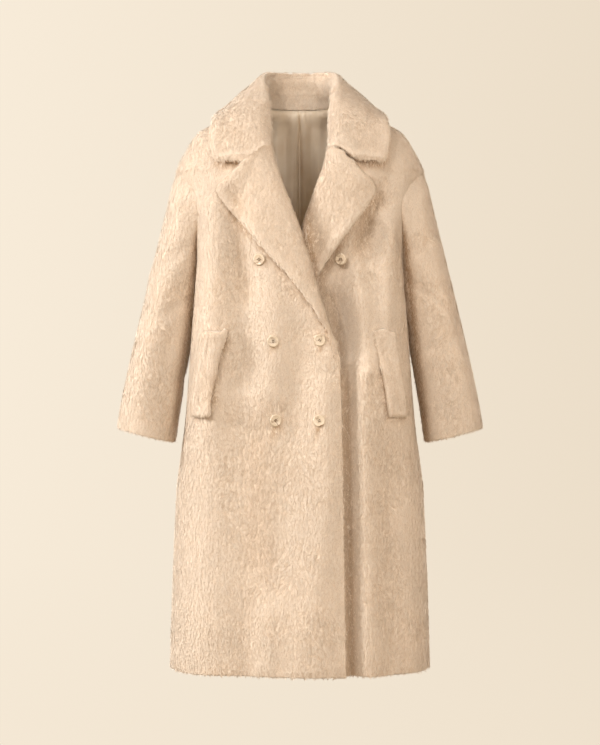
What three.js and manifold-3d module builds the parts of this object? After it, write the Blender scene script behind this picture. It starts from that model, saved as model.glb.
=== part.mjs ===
// A long double-breasted faux fur coat, filled out as if worn, with its notched collar open.
// Millimetres, +Z up, front towards -Y, the wearer's right side at -X. The origin is the middle of the
// neck opening at the height of the back neck seam, where the coat hangs on its wearer.
import * as THREE from "three";
import Module from "manifold-3d";

const wasm = await Module();
wasm.setup();

// Driving sizes
const SEAM = 0.35; // space between two pieces at a seam
const CLOTH = 8; // fur cloth with its pile
const EDGE_ROUND = 2.2; // how far a raw edge is rounded off on each face
const HEM_Z = -1102; // length below the back neck seam
const ARMPIT_Z = -300;
const SHOULDER_TIP_Z = -127;
const ARMHOLE = { front: 78, back: 86 }; // how far the armhole reaches from the side seam
const ARM_STEPS = 10; // faces of half an armhole
const NECK_Z = 0;
const FRONT_EDGE_THICK = 13; // front and facing together, below the lapel
const LAPEL_END_Z = -493;
const ROLL_ROOM = 13.2; // how far behind the rolled edge a front panel stops
const UNDERLAP = { skirt: 16, chest: 38, skirtReach: 34, chestReach: 98 };
const LEAF = { half: 7.5, lift: 9.9, endHalf: 2.4, endLift: 3.2 };
const BUTTON = { radius: 11.5, thick: 4.4, dish: 1.3, hole: 1.1, holePitch: 2.3, lift: 1.4 };
const WELT = { x: 174, z: -527, width: 38, length: 165, lean: 9, thick: 9.5, edge: 3.4, lift: 1.4 };
const LINING = { thick: 1.6, inset: 12, top: -0.8, bottom: -430, reach: 62, pleat: 5 };

const FUR = new THREE.MeshStandardMaterial({ color: 0xe6cfb1, roughness: 0.95, metalness: 0 });
const SATIN = new THREE.MeshStandardMaterial({ color: 0xcdb596, roughness: 0.4, metalness: 0 });
const HORN = new THREE.MeshStandardMaterial({ color: 0xcbb391, roughness: 0.3, metalness: 0 });

// The body's level sections: half width, depth to the front and back, squareness, and the hollow at the
// side that makes room for the hanging sleeve.
const BODY = [
  { z: -1102, half: 254, front: 150, back: 148, power: 2.3, hollow: 0 },
  { z: -1000, half: 251, front: 151, back: 149, power: 2.3, hollow: 0 },
  { z: -880, half: 247, front: 151, back: 148, power: 2.3, hollow: 0 },
  { z: -770, half: 242, front: 149, back: 146, power: 2.35, hollow: 0 },
  { z: -660, half: 241, front: 147, back: 143, power: 2.5, hollow: 12 },
  { z: -560, half: 241, front: 145, back: 141, power: 2.65, hollow: 27 },
  { z: -460, half: 239, front: 143, back: 138, power: 2.75, hollow: 39 },
  { z: -380, half: 235, front: 141, back: 136, power: 2.8, hollow: 46 },
  { z: -300, half: 231, front: 138, back: 133, power: 2.8, hollow: 52 },
  { z: -255, half: 230, front: 134, back: 131, power: 2.75, hollow: 50 },
  { z: -200, half: 231, front: 127, back: 128, power: 2.65, hollow: 37 },
  { z: -160, half: 236, front: 120, back: 124, power: 2.6, hollow: 16 },
  { z: -127, half: 241, front: 113, back: 121, power: 2.6, hollow: 0 },
  { z: -105, half: 231, front: 108, back: 119, power: 2.65, hollow: 0 },
  { z: -80, half: 217, front: 100, back: 116, power: 2.7, hollow: 0 },
  { z: -62, half: 206, front: 93, back: 113, power: 2.65, hollow: 0 },
  { z: -46, half: 189, front: 84, back: 110, power: 2.55, hollow: 0 },
  { z: -30, half: 153, front: 72, back: 104, power: 2.4, hollow: 0 },
  { z: -14, half: 117, front: 59, back: 97, power: 2.35, hollow: 0 },
  { z: 0, half: 83, front: 46, back: 90, power: 2.3, hollow: 0 },
];
const HOLLOW_WIDTH = 70;
const SLEEVE_GAP = 4.5; // between a sleeve and the body beside it

// Soft folds down the body. Depth is outwards: a ridge is above 0, a trough below.
const FOLDS = [
  { side: "front", topX: -112, topZ: -190, lowX: -126, lowZ: -1102, width: 26, depth: -11 },
  { side: "front", topX: -160, topZ: -150, lowX: -176, lowZ: -780, width: 24, depth: 6 },
  { side: "front", topX: -66, topZ: -280, lowX: -84, lowZ: -900, width: 30, depth: 6 },
  { side: "front", topX: 2, topZ: -400, lowX: -58, lowZ: -1102, width: 30, depth: -8 },
  { side: "front", topX: 46, topZ: -520, lowX: 40, lowZ: -1102, width: 30, depth: 5 },
  { side: "front", topX: 136, topZ: -150, lowX: 146, lowZ: -560, width: 22, depth: -9 },
  { side: "front", topX: 176, topZ: -160, lowX: 186, lowZ: -520, width: 20, depth: 5 },
  { side: "front", topX: 122, topZ: -420, lowX: 138, lowZ: -1102, width: 24, depth: 5 },
  { side: "front", topX: 168, topZ: -600, lowX: 190, lowZ: -1102, width: 28, depth: -7 },
  { side: "back", topX: -128, topZ: -200, lowX: -140, lowZ: -1102, width: 28, depth: -9 },
  { side: "back", topX: -56, topZ: -330, lowX: -70, lowZ: -1102, width: 32, depth: 6 },
  { side: "back", topX: 6, topZ: -240, lowX: 12, lowZ: -1102, width: 30, depth: -7 },
  { side: "back", topX: 74, topZ: -360, lowX: 86, lowZ: -1102, width: 34, depth: 6 },
  { side: "back", topX: 132, topZ: -220, lowX: 150, lowZ: -1102, width: 26, depth: -9 },
];

// The sleeve's sections from the armhole to the cuff, for the wearer's left. Each is an oval between
// its body-side point and its outer point, with a depth to the front and the back.
const SLEEVE = [
  { inX: 183, inZ: -309, outX: 251, outZ: -152, front: 83, back: 88, y: 4 },
  { inX: 188, inZ: -324, outX: 261, outZ: -196, front: 84, back: 88, y: 5 },
  { inX: 192, inZ: -350, outX: 274, outZ: -250, front: 81, back: 84, y: 5 },
  { inX: 199, inZ: -392, outX: 292, outZ: -320, front: 76, back: 79, y: 4 },
  { inX: 208, inZ: -450, outX: 310, outZ: -392, front: 72, back: 75, y: 2 },
  { inX: 219, inZ: -520, outX: 329, outZ: -472, front: 69, back: 72, y: 0 },
  { inX: 231, inZ: -592, outX: 347, outZ: -552, front: 67, back: 69, y: -2 },
  { inX: 239, inZ: -652, outX: 360, outZ: -622, front: 65, back: 67, y: -3 },
  { inX: 241, inZ: -662, outX: 361, outZ: -634, front: 64, back: 66, y: -3 },
];
const SLEEVE_FOLDS = [
  { angle: 62, from: 0.1, to: 0.85, width: 20, depth: 4 },
  { angle: 108, from: 0.25, to: 0.95, width: 22, depth: -4 },
  { angle: 28, from: 0.3, to: 1.0, width: 20, depth: -3 },
  { angle: 238, from: 0.15, to: 0.8, width: 24, depth: 4 },
  { angle: 300, from: 0.2, to: 0.9, width: 24, depth: -4 },
];

// The rolled edge of the upper front as it shows from the front, then the plain front edge below it.
const ROLL = [
  { z: 0, x: -57 }, { z: -46, x: -57 }, { z: -93, x: -54 }, { z: -133, x: -39 }, { z: -196, x: -17 },
  { z: -240, x: 0 }, { z: -323, x: 29 }, { z: -387, x: 46 }, { z: -444, x: 67 }, { z: -482, x: 76 },
  { z: -538, x: 80 }, { z: -620, x: 82 }, { z: -880, x: 86 }, { z: -1102, x: 90 },
];
// Where the cloth of a front stops above the gorge: the neck edge.
const NECK_EDGE = [{ z: 0, x: -76 }, { z: -46, x: -77 }, { z: -93, x: -66.5 }];

// The lapels' rows down from the gorge: the height on the roll, the middle and the outer edge, seen from
// the front, for the wearer's right lapel and, mirrored, for the left one.
const LAPEL_ROWS = [
  { rollZ: -93, midX: -108, midZ: -126, edgeX: -153, edgeZ: -163, leftMidX: -100, leftX: -146, leftZ: -166 },
  { rollZ: -112, midX: -106, midZ: -147, edgeX: -161, edgeZ: -181, leftMidX: -98, leftX: -152, leftZ: -182 },
  { rollZ: -140, midX: -92, midZ: -174, edgeX: -146, edgeZ: -207, leftMidX: -86, leftX: -137, leftZ: -204 },
  { rollZ: -180, midX: -74, midZ: -207, edgeX: -124, edgeZ: -233, leftMidX: -70, leftX: -117, leftZ: -228 },
  { rollZ: -222, midX: -53, midZ: -242, edgeX: -98, edgeZ: -261, leftMidX: -50, leftX: -94, leftZ: -257 },
  { rollZ: -266, midX: -30, midZ: -281, edgeX: -68, edgeZ: -294, leftMidX: -31, leftX: -71, leftZ: -293 },
  { rollZ: -310, midX: -8, midZ: -318, edgeX: -38, edgeZ: -326, leftMidX: -12, leftX: -47, leftZ: -330 },
  { rollZ: -352, midX: 13, midZ: -358, edgeX: -7, edgeZ: -364, leftMidX: 6, leftX: -20, leftZ: -367 },
  { rollZ: -392, midX: 31, midZ: -394, edgeX: 20, edgeZ: -396, leftMidX: 22, leftX: 4, leftZ: -401 },
  { rollZ: -430, midX: 48, midZ: -430, edgeX: 42, edgeZ: -429, leftMidX: 38, leftX: 26, leftZ: -432 },
  { rollZ: -462, midX: 59, midZ: -461, edgeX: 56, edgeZ: -460, leftMidX: 52, leftX: 44, leftZ: -460 },
  { rollZ: -488, midX: 65.5, midZ: -487, edgeX: 64, edgeZ: -486, leftMidX: 60, leftX: 56, leftZ: -486 },
];
const LAPEL_STEPS = [0, 0.35, 1, 1.6, 2.4, 3.3, 4.3, 5.3, 6.3, 7.3, 8.3, 9.2, 10.1, 11];
const LOWER_LAPEL_STEPS = LAPEL_STEPS.filter((t) => t < 7.5);
// Across a lapel: inwards of the rolled edge behind the cloth, then shares of the way to the outer edge.
// At the gorge the first three stand straight in from the roll, like the collar's foot.
const LEAF_COLUMNS = [
  { under: 24, lift: -14.6, half: 1.7, gorgeUnder: 6.5, gorgeLift: -17 },
  { under: 18, lift: -14.6, half: 3.2, gorgeUnder: 6.5, gorgeLift: -13.5 },
  { under: 11.5, lift: -13.2, half: 3.4, gorgeUnder: 6.2, gorgeLift: -9.5 },
  { under: 5.2, lift: -4.8, half: 4.5, gorgeUnder: 5.2, gorgeLift: -4.8 },
  { under: 6, lift: 5, half: 5.5, gorgeUnder: 6, gorgeLift: 5 },
  { share: 0.07, lift: 10.3, half: 6.6 },
  { share: 0.26, lift: 11.2, half: 7.5 },
  { share: 0.5, lift: 10.8, half: 7.5 },
  { share: 0.74, lift: 9.9, half: 7.5 },
  { share: 0.92, lift: 9.5, half: 6.6 },
  { share: 1, lift: 8.7, half: 3.2 },
];
const SHARE_FROM = 10; // the shares start this far behind the rolled edge
const NOTCH_SHARE = 0.5;

// The collar's stations from the back to the gorge, for the wearer's right: its foot at the stand, the
// crest of its roll, the bulge of its fall, and where the fall's edge lies on the body. The last ones
// stand on the neck edge at that height.
const COLLAR = [
  { foot: [0, 93, 32], crest: [0, 104, 72], bulge: [0, 136, 64], back: true, edgeX: 0, edgeZ: -24 },
  { foot: [-30, 88, 32], crest: [-33, 99, 72], bulge: [-50, 132, 62], back: true, edgeX: -58, edgeZ: -25 },
  { foot: [-52, 68, 31], crest: [-55, 78, 70], bulge: [-88, 106, 57], back: true, edgeX: -108, edgeZ: -27 },
  { foot: [-65, 40, 27], crest: [-66, 46, 62], bulge: [-112, 64, 46], back: true, edgeX: -143, edgeZ: -31 },
  { foot: [-70, 8, 16], crest: [-68, 12, 46], bulge: [-122, 12, 30], back: true, edgeX: -158, edgeZ: -34 },
  { foot: [-67, -19, -2], crest: [-65, -20, 22], bulge: [-122, -38, 4], edgeX: -164, edgeZ: -48 },
  { foot: [-63, -47, -32], crest: [-62, -54, -20], bulge: [-118, -90, -46], edgeX: -171, edgeZ: -78 },
];
const COLLAR_CORNER = { x: -161, z: -128 };
const COLLAR_STEPS = 12;
const STAND_END_Z = 3; // the stand ends where the collar's foot comes down to this height
const RISE_SHARES = [0, 0.3, 0.62, 0.88]; // from the collar's foot to its crest
const COLLAR_HALVES = [3.6, 4, 4.6, 5.4, 6.2, 7, 7.5, 7.5, 7.5, 6.6, 3.2];

const BUTTONS = [
  { name: "button_right_top", x: -79, z: -310, front: "upper" },
  { name: "button_left_top", x: 80, z: -308, front: "lower" },
  { name: "button_right_middle", x: -51, z: -465, front: "upper" },
  { name: "button_left_middle", x: 38, z: -463, front: "upper" },
  { name: "button_right_low", x: -47, z: -615, front: "upper" },
  { name: "button_left_low", x: 36, z: -615, front: "upper" },
];

// Helpers for tables and curves
const mix = (a, b, t) => a + (b - a) * t;
const clamp = (v, low, high) => Math.min(high, Math.max(low, v));
const smooth = (low, high, v) => {
  const t = clamp((v - low) / (high - low), 0, 1);
  return t * t * (3 - 2 * t);
};
const bell = (v) => Math.exp(-v * v);
const power = (v, p) => Math.sign(v) * Math.abs(v) ** p;

// The value at t of a smooth curve through evenly indexed values.
function through(values, t) {
  const i = clamp(Math.floor(t), 0, values.length - 2);
  const f = t - i;
  const at = (k) => values[clamp(k, 0, values.length - 1)];
  const [p, a, b, q] = [at(i - 1), at(i), at(i + 1), at(i + 2)];
  const m = (b - p) / 2;
  const n = (q - a) / 2;
  return (
    a * (2 * f ** 3 - 3 * f ** 2 + 1) + m * (f ** 3 - 2 * f ** 2 + f) +
    b * (3 * f ** 2 - 2 * f ** 3) + n * (f ** 3 - f ** 2)
  );
}

// A named column of a table, smoothly between its rows. keys rise or fall evenly enough.
function lookUp(table, key, column, at) {
  const rising = table[1][key] > table[0][key];
  let i = 0;
  while (i < table.length - 2 && (rising ? at > table[i + 1][key] : at < table[i + 1][key])) i += 1;
  const [k0, k1] = [table[i][key], table[i + 1][key]];
  const t = clamp((at - k0) / (k1 - k0), 0, 1);
  const slope = (a, b) => (b[column] - a[column]) / (b[key] - a[key]);
  const here = slope(table[i], table[i + 1]);
  const before = i > 0 ? slope(table[i - 1], table[i]) : here;
  const after = i < table.length - 2 ? slope(table[i + 1], table[i + 2]) : here;
  const limited = (a, b) => (a * b <= 0 ? 0 : (2 * a * b) / (a + b));
  const m = limited(before, here) * (k1 - k0);
  const n = limited(here, after) * (k1 - k0);
  const [v0, v1] = [table[i][column], table[i + 1][column]];
  return (
    v0 * (2 * t ** 3 - 3 * t ** 2 + 1) + m * (t ** 3 - 2 * t ** 2 + t) +
    v1 * (3 * t ** 2 - 2 * t ** 3) + n * (t ** 3 - t ** 2)
  );
}

// The outline of the body
function section(z) {
  const value = (column) => lookUp(BODY, "z", column, z);
  return {
    half: value("half"), front: value("front"), back: value("back"),
    power: value("power"), hollow: value("hollow"),
  };
}

function foldDepth(side, x, z) {
  let depth = 0;
  for (const f of FOLDS) {
    if (f.side !== side) continue;
    const t = clamp((z - f.topZ) / (f.lowZ - f.topZ), 0, 1);
    const fadeIn = smooth(0, 0.3, t);
    const fadeOut = f.lowZ > HEM_Z ? 1 - smooth(f.lowZ + 180, f.lowZ, z) : 1;
    depth += f.depth * fadeIn * fadeOut * bell((x - mix(f.topX, f.lowX, t)) / f.width);
  }
  return depth;
}

// A point of the body's outer surface. turn is 0 at the wearer's left side, a quarter turn at the front.
function body(turn, z, folded = true) {
  const s = section(z);
  const [c, q] = [Math.cos(turn), Math.sin(turn)];
  const depth = q >= 0 ? s.front : s.back;
  const x = s.half * power(c, 2 / s.power);
  const y = -depth * power(q, 2 / s.power);
  const out = new THREE.Vector3(
    power(x / s.half, s.power - 1) / s.half, power(y / depth, s.power - 1) / depth, 0,
  ).normalize();
  const fade = smooth(0, 0.45, Math.abs(y) / depth);
  const fold = folded ? foldDepth(q >= 0 ? "front" : "back", x, z) * fade : 0;
  const hollow = Math.sign(x) * s.hollow * bell(y / HOLLOW_WIDTH);
  return new THREE.Vector3(x - hollow, y, z).addScaledVector(out, fold);
}

function bodyNormal(turn, z) {
  const across = body(turn + 0.012, z).sub(body(turn - 0.012, z));
  const up = body(turn, Math.min(z + 2, NECK_Z)).sub(body(turn, Math.max(z - 2, HEM_Z)));
  const normal = up.cross(across).normalize();
  const p = body(turn, z);
  return normal.dot(new THREE.Vector3(p.x, p.y, 0)) < 0 ? normal.negate() : normal;
}

const onBody = (turn, z, lift) => body(turn, z).addScaledVector(bodyNormal(turn, z), lift);

// The turn at which the body's section at z has that x, on the front or the back.
function turnAtX(x, z, front = true) {
  const s = section(z);
  const c = power(clamp(x / s.half, -1, 1), s.power / 2);
  return front ? Math.acos(c) : -Math.acos(c);
}

// The same for a depth y in front of or behind the side seam, on the wearer's left.
function turnAtY(y, z) {
  const s = section(z);
  const depth = y <= 0 ? s.front : s.back;
  return Math.asin(clamp(power(-y / depth, s.power / 2), -1, 1));
}

const rollX = (z) => lookUp(ROLL, "z", "x", z);

// Where a front's cloth stops, seen from the front: on the neck edge, behind the roll, then at the edge.
function clothEdgeX(z) {
  const neckEnd = NECK_EDGE[NECK_EDGE.length - 1].z;
  if (z > neckEnd) return lookUp(NECK_EDGE, "z", "x", z);
  return rollX(z) - ROLL_ROOM * (z > LAPEL_END_Z ? 1 : 0);
}

// How far the lower front is set in, under the upper one.
function underlap(x, z) {
  const chest = smooth(-560, -430, z) * (1 - smooth(-190, -95, z));
  const above = 1 - smooth(-190, -95, z);
  const deep = mix(UNDERLAP.skirt * above, UNDERLAP.chest, chest);
  const reach = mix(UNDERLAP.skirtReach, UNDERLAP.chestReach, smooth(-560, -430, z));
  return deep * (1 - smooth(rollX(z) + 3, rollX(z) + reach, x));
}

// A point of a front's surface by how it is seen from the front, and the same point lifted off it. What
// lies on the front as a plain sheet is lifted off the surface without its folds.
function frontPoint(x, z, lower, folded = true) {
  const turn = turnAtX(x, z);
  return body(turn, z, folded).addScaledVector(bodyNormal(turn, z), lower ? -underlap(x, z) : 0);
}

function frontNormal(x, z, lower, folded = true) {
  const reach = folded ? 3 : 12;
  const at = (dx, dz) => frontPoint(x + dx, Math.min(z + dz, NECK_Z), lower, folded);
  const across = at(reach, 0).sub(at(-reach, 0));
  const up = at(0, reach).sub(at(0, -reach));
  return across.cross(up).normalize();
}

const lifted = (x, z, lift, lower = false, folded = true) =>
  frontPoint(x, z, lower, folded).addScaledVector(frontNormal(x, z, lower, folded), lift);

// Closed solids from rows of points
function solidGeometry(points, faces) {
  let volume = 0;
  for (const [a, b, c] of faces) volume += points[a].dot(points[b].clone().cross(points[c]));
  const index = volume > 0 ? faces.flat() : faces.flatMap(([a, b, c]) => [a, c, b]);
  const geometry = new THREE.BufferGeometry();
  const values = points.flatMap((p) => p.toArray());
  geometry.setAttribute("position", new THREE.Float32BufferAttribute(values, 3));
  geometry.setIndex(index);
  geometry.computeVertexNormals();
  return geometry;
}

// A wall between an outer and an inner grid, each an array of rows. round closes each row on itself.
function wall({ outer, inner }, round = false) {
  const rows = outer.length;
  const cols = outer[0].length;
  const points = [...outer.flat(), ...inner.flat()];
  const at = (layer, i, j) => layer * rows * cols + i * cols + (j % cols);
  const faces = [];
  const quad = (a, b, c, d) => {
    const near = points[a].distanceTo(points[c]) <= points[b].distanceTo(points[d]);
    faces.push(...(near ? [[a, b, c], [a, c, d]] : [[a, b, d], [b, c, d]]));
  };
  const lastCol = round ? cols : cols - 1;
  for (let i = 0; i < rows - 1; i += 1) {
    for (let j = 0; j < lastCol; j += 1) {
      quad(at(0, i, j), at(0, i, j + 1), at(0, i + 1, j + 1), at(0, i + 1, j));
      quad(at(1, i, j), at(1, i + 1, j), at(1, i + 1, j + 1), at(1, i, j + 1));
    }
    if (round) continue;
    quad(at(0, i, 0), at(0, i + 1, 0), at(1, i + 1, 0), at(1, i, 0));
    quad(at(0, i, cols - 1), at(1, i, cols - 1), at(1, i + 1, cols - 1), at(0, i + 1, cols - 1));
  }
  for (let j = 0; j < lastCol; j += 1) {
    quad(at(0, 0, j), at(1, 0, j), at(1, 0, j + 1), at(0, 0, j + 1));
    quad(at(0, rows - 1, j), at(0, rows - 1, j + 1), at(1, rows - 1, j + 1), at(1, rows - 1, j));
  }
  return solidGeometry(points, faces);
}

// The two faces of a padded sheet about a middle surface, with a half thickness for each point. before is
// the row that would come ahead of the first.
function layers(middle, halves, before = middle[0]) {
  const pick = (i, j) => {
    const row = i < 0 ? before : middle[Math.min(i, middle.length - 1)];
    return row[clamp(j, 0, row.length - 1)];
  };
  const offset = (sign) =>
    middle.map((row, i) =>
      row.map((p, j) => {
        const down = pick(i + 1, j).clone().sub(pick(i - 1, j));
        const across = pick(i, j + 1).clone().sub(pick(i, j - 1));
        return p.clone().addScaledVector(down.cross(across).normalize(), sign * halves[i][j]);
      }),
    );
  return { outer: offset(1), inner: offset(-1) };
}

const flipX = (p) => p.clone().setX(-p.x);
const mirrorLayers = ({ outer, inner }) => ({
  outer: outer.map((row) => row.map(flipX)),
  inner: inner.map((row) => row.map(flipX)),
});

// A half that starts at the middle of the back, with its mirror image, as one sheet.
function bothSides(half) {
  const other = mirrorLayers(half);
  const join = (a, b) => [...a.slice(1).reverse(), ...b];
  return { outer: join(half.outer, other.outer), inner: join(half.inner, other.inner) };
}

// The turns that part a level of the body evenly between given turns.
function spacedTurns(z, stops, counts) {
  const turns = [stops[0]];
  const fine = 30;
  counts.forEach((count, k) => {
    const [from, to] = [stops[k], stops[k + 1]];
    const lengths = [0];
    for (let i = 1; i <= fine; i += 1) {
      const [a, b] = [body(mix(from, to, (i - 1) / fine), z), body(mix(from, to, i / fine), z)];
      lengths.push(lengths[i - 1] + a.distanceTo(b));
    }
    for (let n = 1; n <= count; n += 1) {
      const want = (lengths[fine] * n) / count;
      let i = 1;
      while (i < fine && lengths[i] < want) i += 1;
      const f = (want - lengths[i - 1]) / Math.max(lengths[i] - lengths[i - 1], 1e-9);
      turns.push(mix(from, to, (i - 1 + clamp(f, 0, 1)) / fine));
    }
  });
  return turns;
}

// The levels of the body's rows: the skirt, the armhole by even angles, and the shoulder.
const armholeAngle = (step) => (Math.PI * step) / ARM_STEPS;
const armholeZ = (angle) =>
  (SHOULDER_TIP_Z + ARMPIT_Z) / 2 + ((SHOULDER_TIP_Z - ARMPIT_Z) / 2) * Math.cos(angle);
const SKIRT_LEVELS = [HEM_Z, HEM_Z + 5, -1030, -930, -830, -740, -660, -590];
const LAPEL_LEVELS = [-540, LAPEL_END_Z - 2, LAPEL_END_Z + 1, -455, -405, -350];
const SHOULDER_LEVELS = [-110, -90, -70, -52, -34, -17, NECK_Z];
const level = (z) => ({ z, reach: 0 });
const LEVELS = [
  ...SKIRT_LEVELS.map(level),
  ...LAPEL_LEVELS.map(level),
  ...Array.from({ length: ARM_STEPS + 1 }, (_, k) => {
    const angle = armholeAngle(ARM_STEPS - k);
    return { z: armholeZ(angle), reach: Math.sin(angle) };
  }),
  ...SHOULDER_LEVELS.map(level),
];
const BACK_LEVELS = LEVELS.filter(({ z }) => Math.abs(z - LAPEL_END_Z) > 10);

// The turn at which a panel starts at its side: side seam, armhole or shoulder seam, for the wearer's left.
function sideTurn({ z, reach }, back) {
  return turnAtY(reach * (back ? ARMHOLE.back : -ARMHOLE.front), z);
}

// A panel's wall. Each row holds its points with their normals and, for each, the thickness and how far
// both faces are rounded off.
function panel(rows) {
  const face = (depth) =>
    rows.map((row) => row.map((p) => p.start.clone().addScaledVector(p.normal, -depth(p))));
  return wall({ outer: face((p) => p.round), inner: face((p) => p.thick - p.round) });
}

// A point of a panel on the body; on a seam it is moved off it and its thickness lies along the seam.
function panelPoint(turn, z, seam) {
  const start = body(turn, z);
  const normal = bodyNormal(turn, z);
  start.y += seam;
  if (seam) normal.setY(0).normalize();
  return { start, normal };
}

const hemRound = (i) => (i === 0 ? EDGE_ROUND : 0);
const isSeam = ({ reach }) => reach < 1e-6;
const sideX = (z) => Math.min(178, section(z).half * 0.74);

// A panel's turns between stops, from its side on the wearer's left. They give way to even steps towards
// the neck, where the panel is narrow. Below the armhole the first step is drawn out, so that the columns
// run on past the armpit.
const SIDE_STEPS = 5;
function panelTurns({ z }, behind, stops, counts) {
  const total = counts.reduce((sum, n) => sum + n, 0);
  const free = smooth(-60, SHOULDER_TIP_Z, z);
  let passed = 0;
  const settled = stops.map((stop, k) => {
    const even = mix(stops[0], stops[stops.length - 1], passed / total);
    passed += counts[k] ?? 0;
    return free > 0 ? mix(even, stop, free) : even;
  });
  if (z > ARMPIT_Z + 1) return spacedTurns(z, settled, counts);
  const reach = mix(26, 38, smooth(-450, ARMPIT_Z, z)) * (behind ? 1 : -1);
  return spacedTurns(z, [settled[0], turnAtY(reach, z), ...settled.slice(1)], [1, SIDE_STEPS - 1, ...counts.slice(1)]);
}

function upperFront() {
  const counts = [SIDE_STEPS, 5, 4, 1];
  const last = 15;
  const rows = LEVELS.map((at, i) => {
    const { z } = at;
    const x = -clothEdgeX(z);
    const end = turnAtX(x, z);
    const near = turnAtX(mix(Math.min(-rollX(z), x), sideX(z), 0.36), z);
    const stops = [sideTurn(at, false), turnAtX(sideX(z), z), near, mix(end, near, 0.05), end];
    return panelTurns(at, false, stops, counts).map((turn, j) => ({
      ...panelPoint(Math.PI - turn, z, j === 0 && isSeam(at) ? -SEAM / 2 : 0),
      thick: z < LAPEL_END_Z ? mix(CLOTH, FRONT_EDGE_THICK, smooth(10.5, 14, j)) : CLOTH,
      round: Math.max(hemRound(i), j === last ? EDGE_ROUND : 0),
    }));
  });
  return panel(rows);
}

function lowerFront() {
  const counts = [SIDE_STEPS, 3, 4, 3, 1];
  const last = 16;
  const rows = LEVELS.map((at, i) => {
    const { z } = at;
    const edge = z > LAPEL_END_Z ? -clothEdgeX(z) : mix(-rollX(z), -70, 0.5);
    const reach = mix(UNDERLAP.skirtReach, UNDERLAP.chestReach, smooth(-560, -430, z));
    const start = sideTurn(at, false);
    const end = turnAtX(edge, z);
    const far = clamp(rollX(z) + reach, edge + 26, sideX(z) - 20);
    const near = clamp(rollX(z), edge + 10, far - 12);
    const nearTurn = turnAtX(near, z);
    const stops = [start, turnAtX(sideX(z), z), turnAtX(far, z), nearTurn, mix(end, nearTurn, 0.08), end];
    return panelTurns(at, false, stops, counts).map((turn, j) => {
      const x = section(z).half * power(Math.cos(turn), 2 / section(z).power);
      const inset = underlap(x, z) > 0.01;
      const base = inset
        ? { start: frontPoint(x, z, true), normal: frontNormal(x, z, true) }
        : panelPoint(turn, z, j === 0 && isSeam(at) ? -SEAM / 2 : 0);
      return { ...base, thick: CLOTH, round: Math.max(hemRound(i), j === last ? EDGE_ROUND : 0) };
    });
  });
  return panel(rows);
}

function back() {
  const rows = BACK_LEVELS.map((at, i) => {
    const { z } = at;
    const stops = [sideTurn(at, true), turnAtX(sideX(z), z, false), -Math.PI / 2];
    const half = panelTurns(at, true, stops, [SIDE_STEPS, 6]);
    const turns = [...half, ...half.slice(0, -1).reverse().map((turn) => -Math.PI - turn)];
    return turns.map((turn, j) => ({
      ...panelPoint(turn, z, (j === 0 || j === turns.length - 1) && isSeam(at) ? SEAM / 2 : 0),
      thick: CLOTH,
      round: hemRound(i),
    }));
  });
  return panel(rows);
}

// Sleeves
function armholePoint(step) {
  const angle = armholeAngle(step);
  const z = armholeZ(angle);
  const reach = Math.sin(angle);
  const turn = turnAtY(-(reach >= 0 ? ARMHOLE.front : ARMHOLE.back) * reach, z);
  return { point: body(turn, z), normal: bodyNormal(turn, z), angle };
}

function sleeveFold(angle, along) {
  let depth = 0;
  const degrees = THREE.MathUtils.radToDeg(angle);
  for (const f of SLEEVE_FOLDS) {
    const fadeOut = f.to >= 1 ? 1 : 1 - smooth(f.to - 0.2, f.to, along);
    depth += f.depth * smooth(f.from, f.from + 0.2, along) * fadeOut * bell((degrees - f.angle) / f.width);
  }
  return depth;
}

// A sleeve's point, kept clear of the body's side except within the armhole.
function clearOfSide(p, gap) {
  const reach = p.y <= 0 ? ARMHOLE.front : ARMHOLE.back;
  const [low, high] = [ARMPIT_Z, SHOULDER_TIP_Z];
  const inHole = ((p.z - (low + high) / 2) / ((high - low) / 2)) ** 2 + (p.y / reach) ** 2 < 1;
  if (inHole || p.z > high) return p;
  const side = body(turnAtY(p.y, p.z), p.z).x + gap;
  return p.x < side ? p.clone().setX(side) : p;
}

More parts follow.
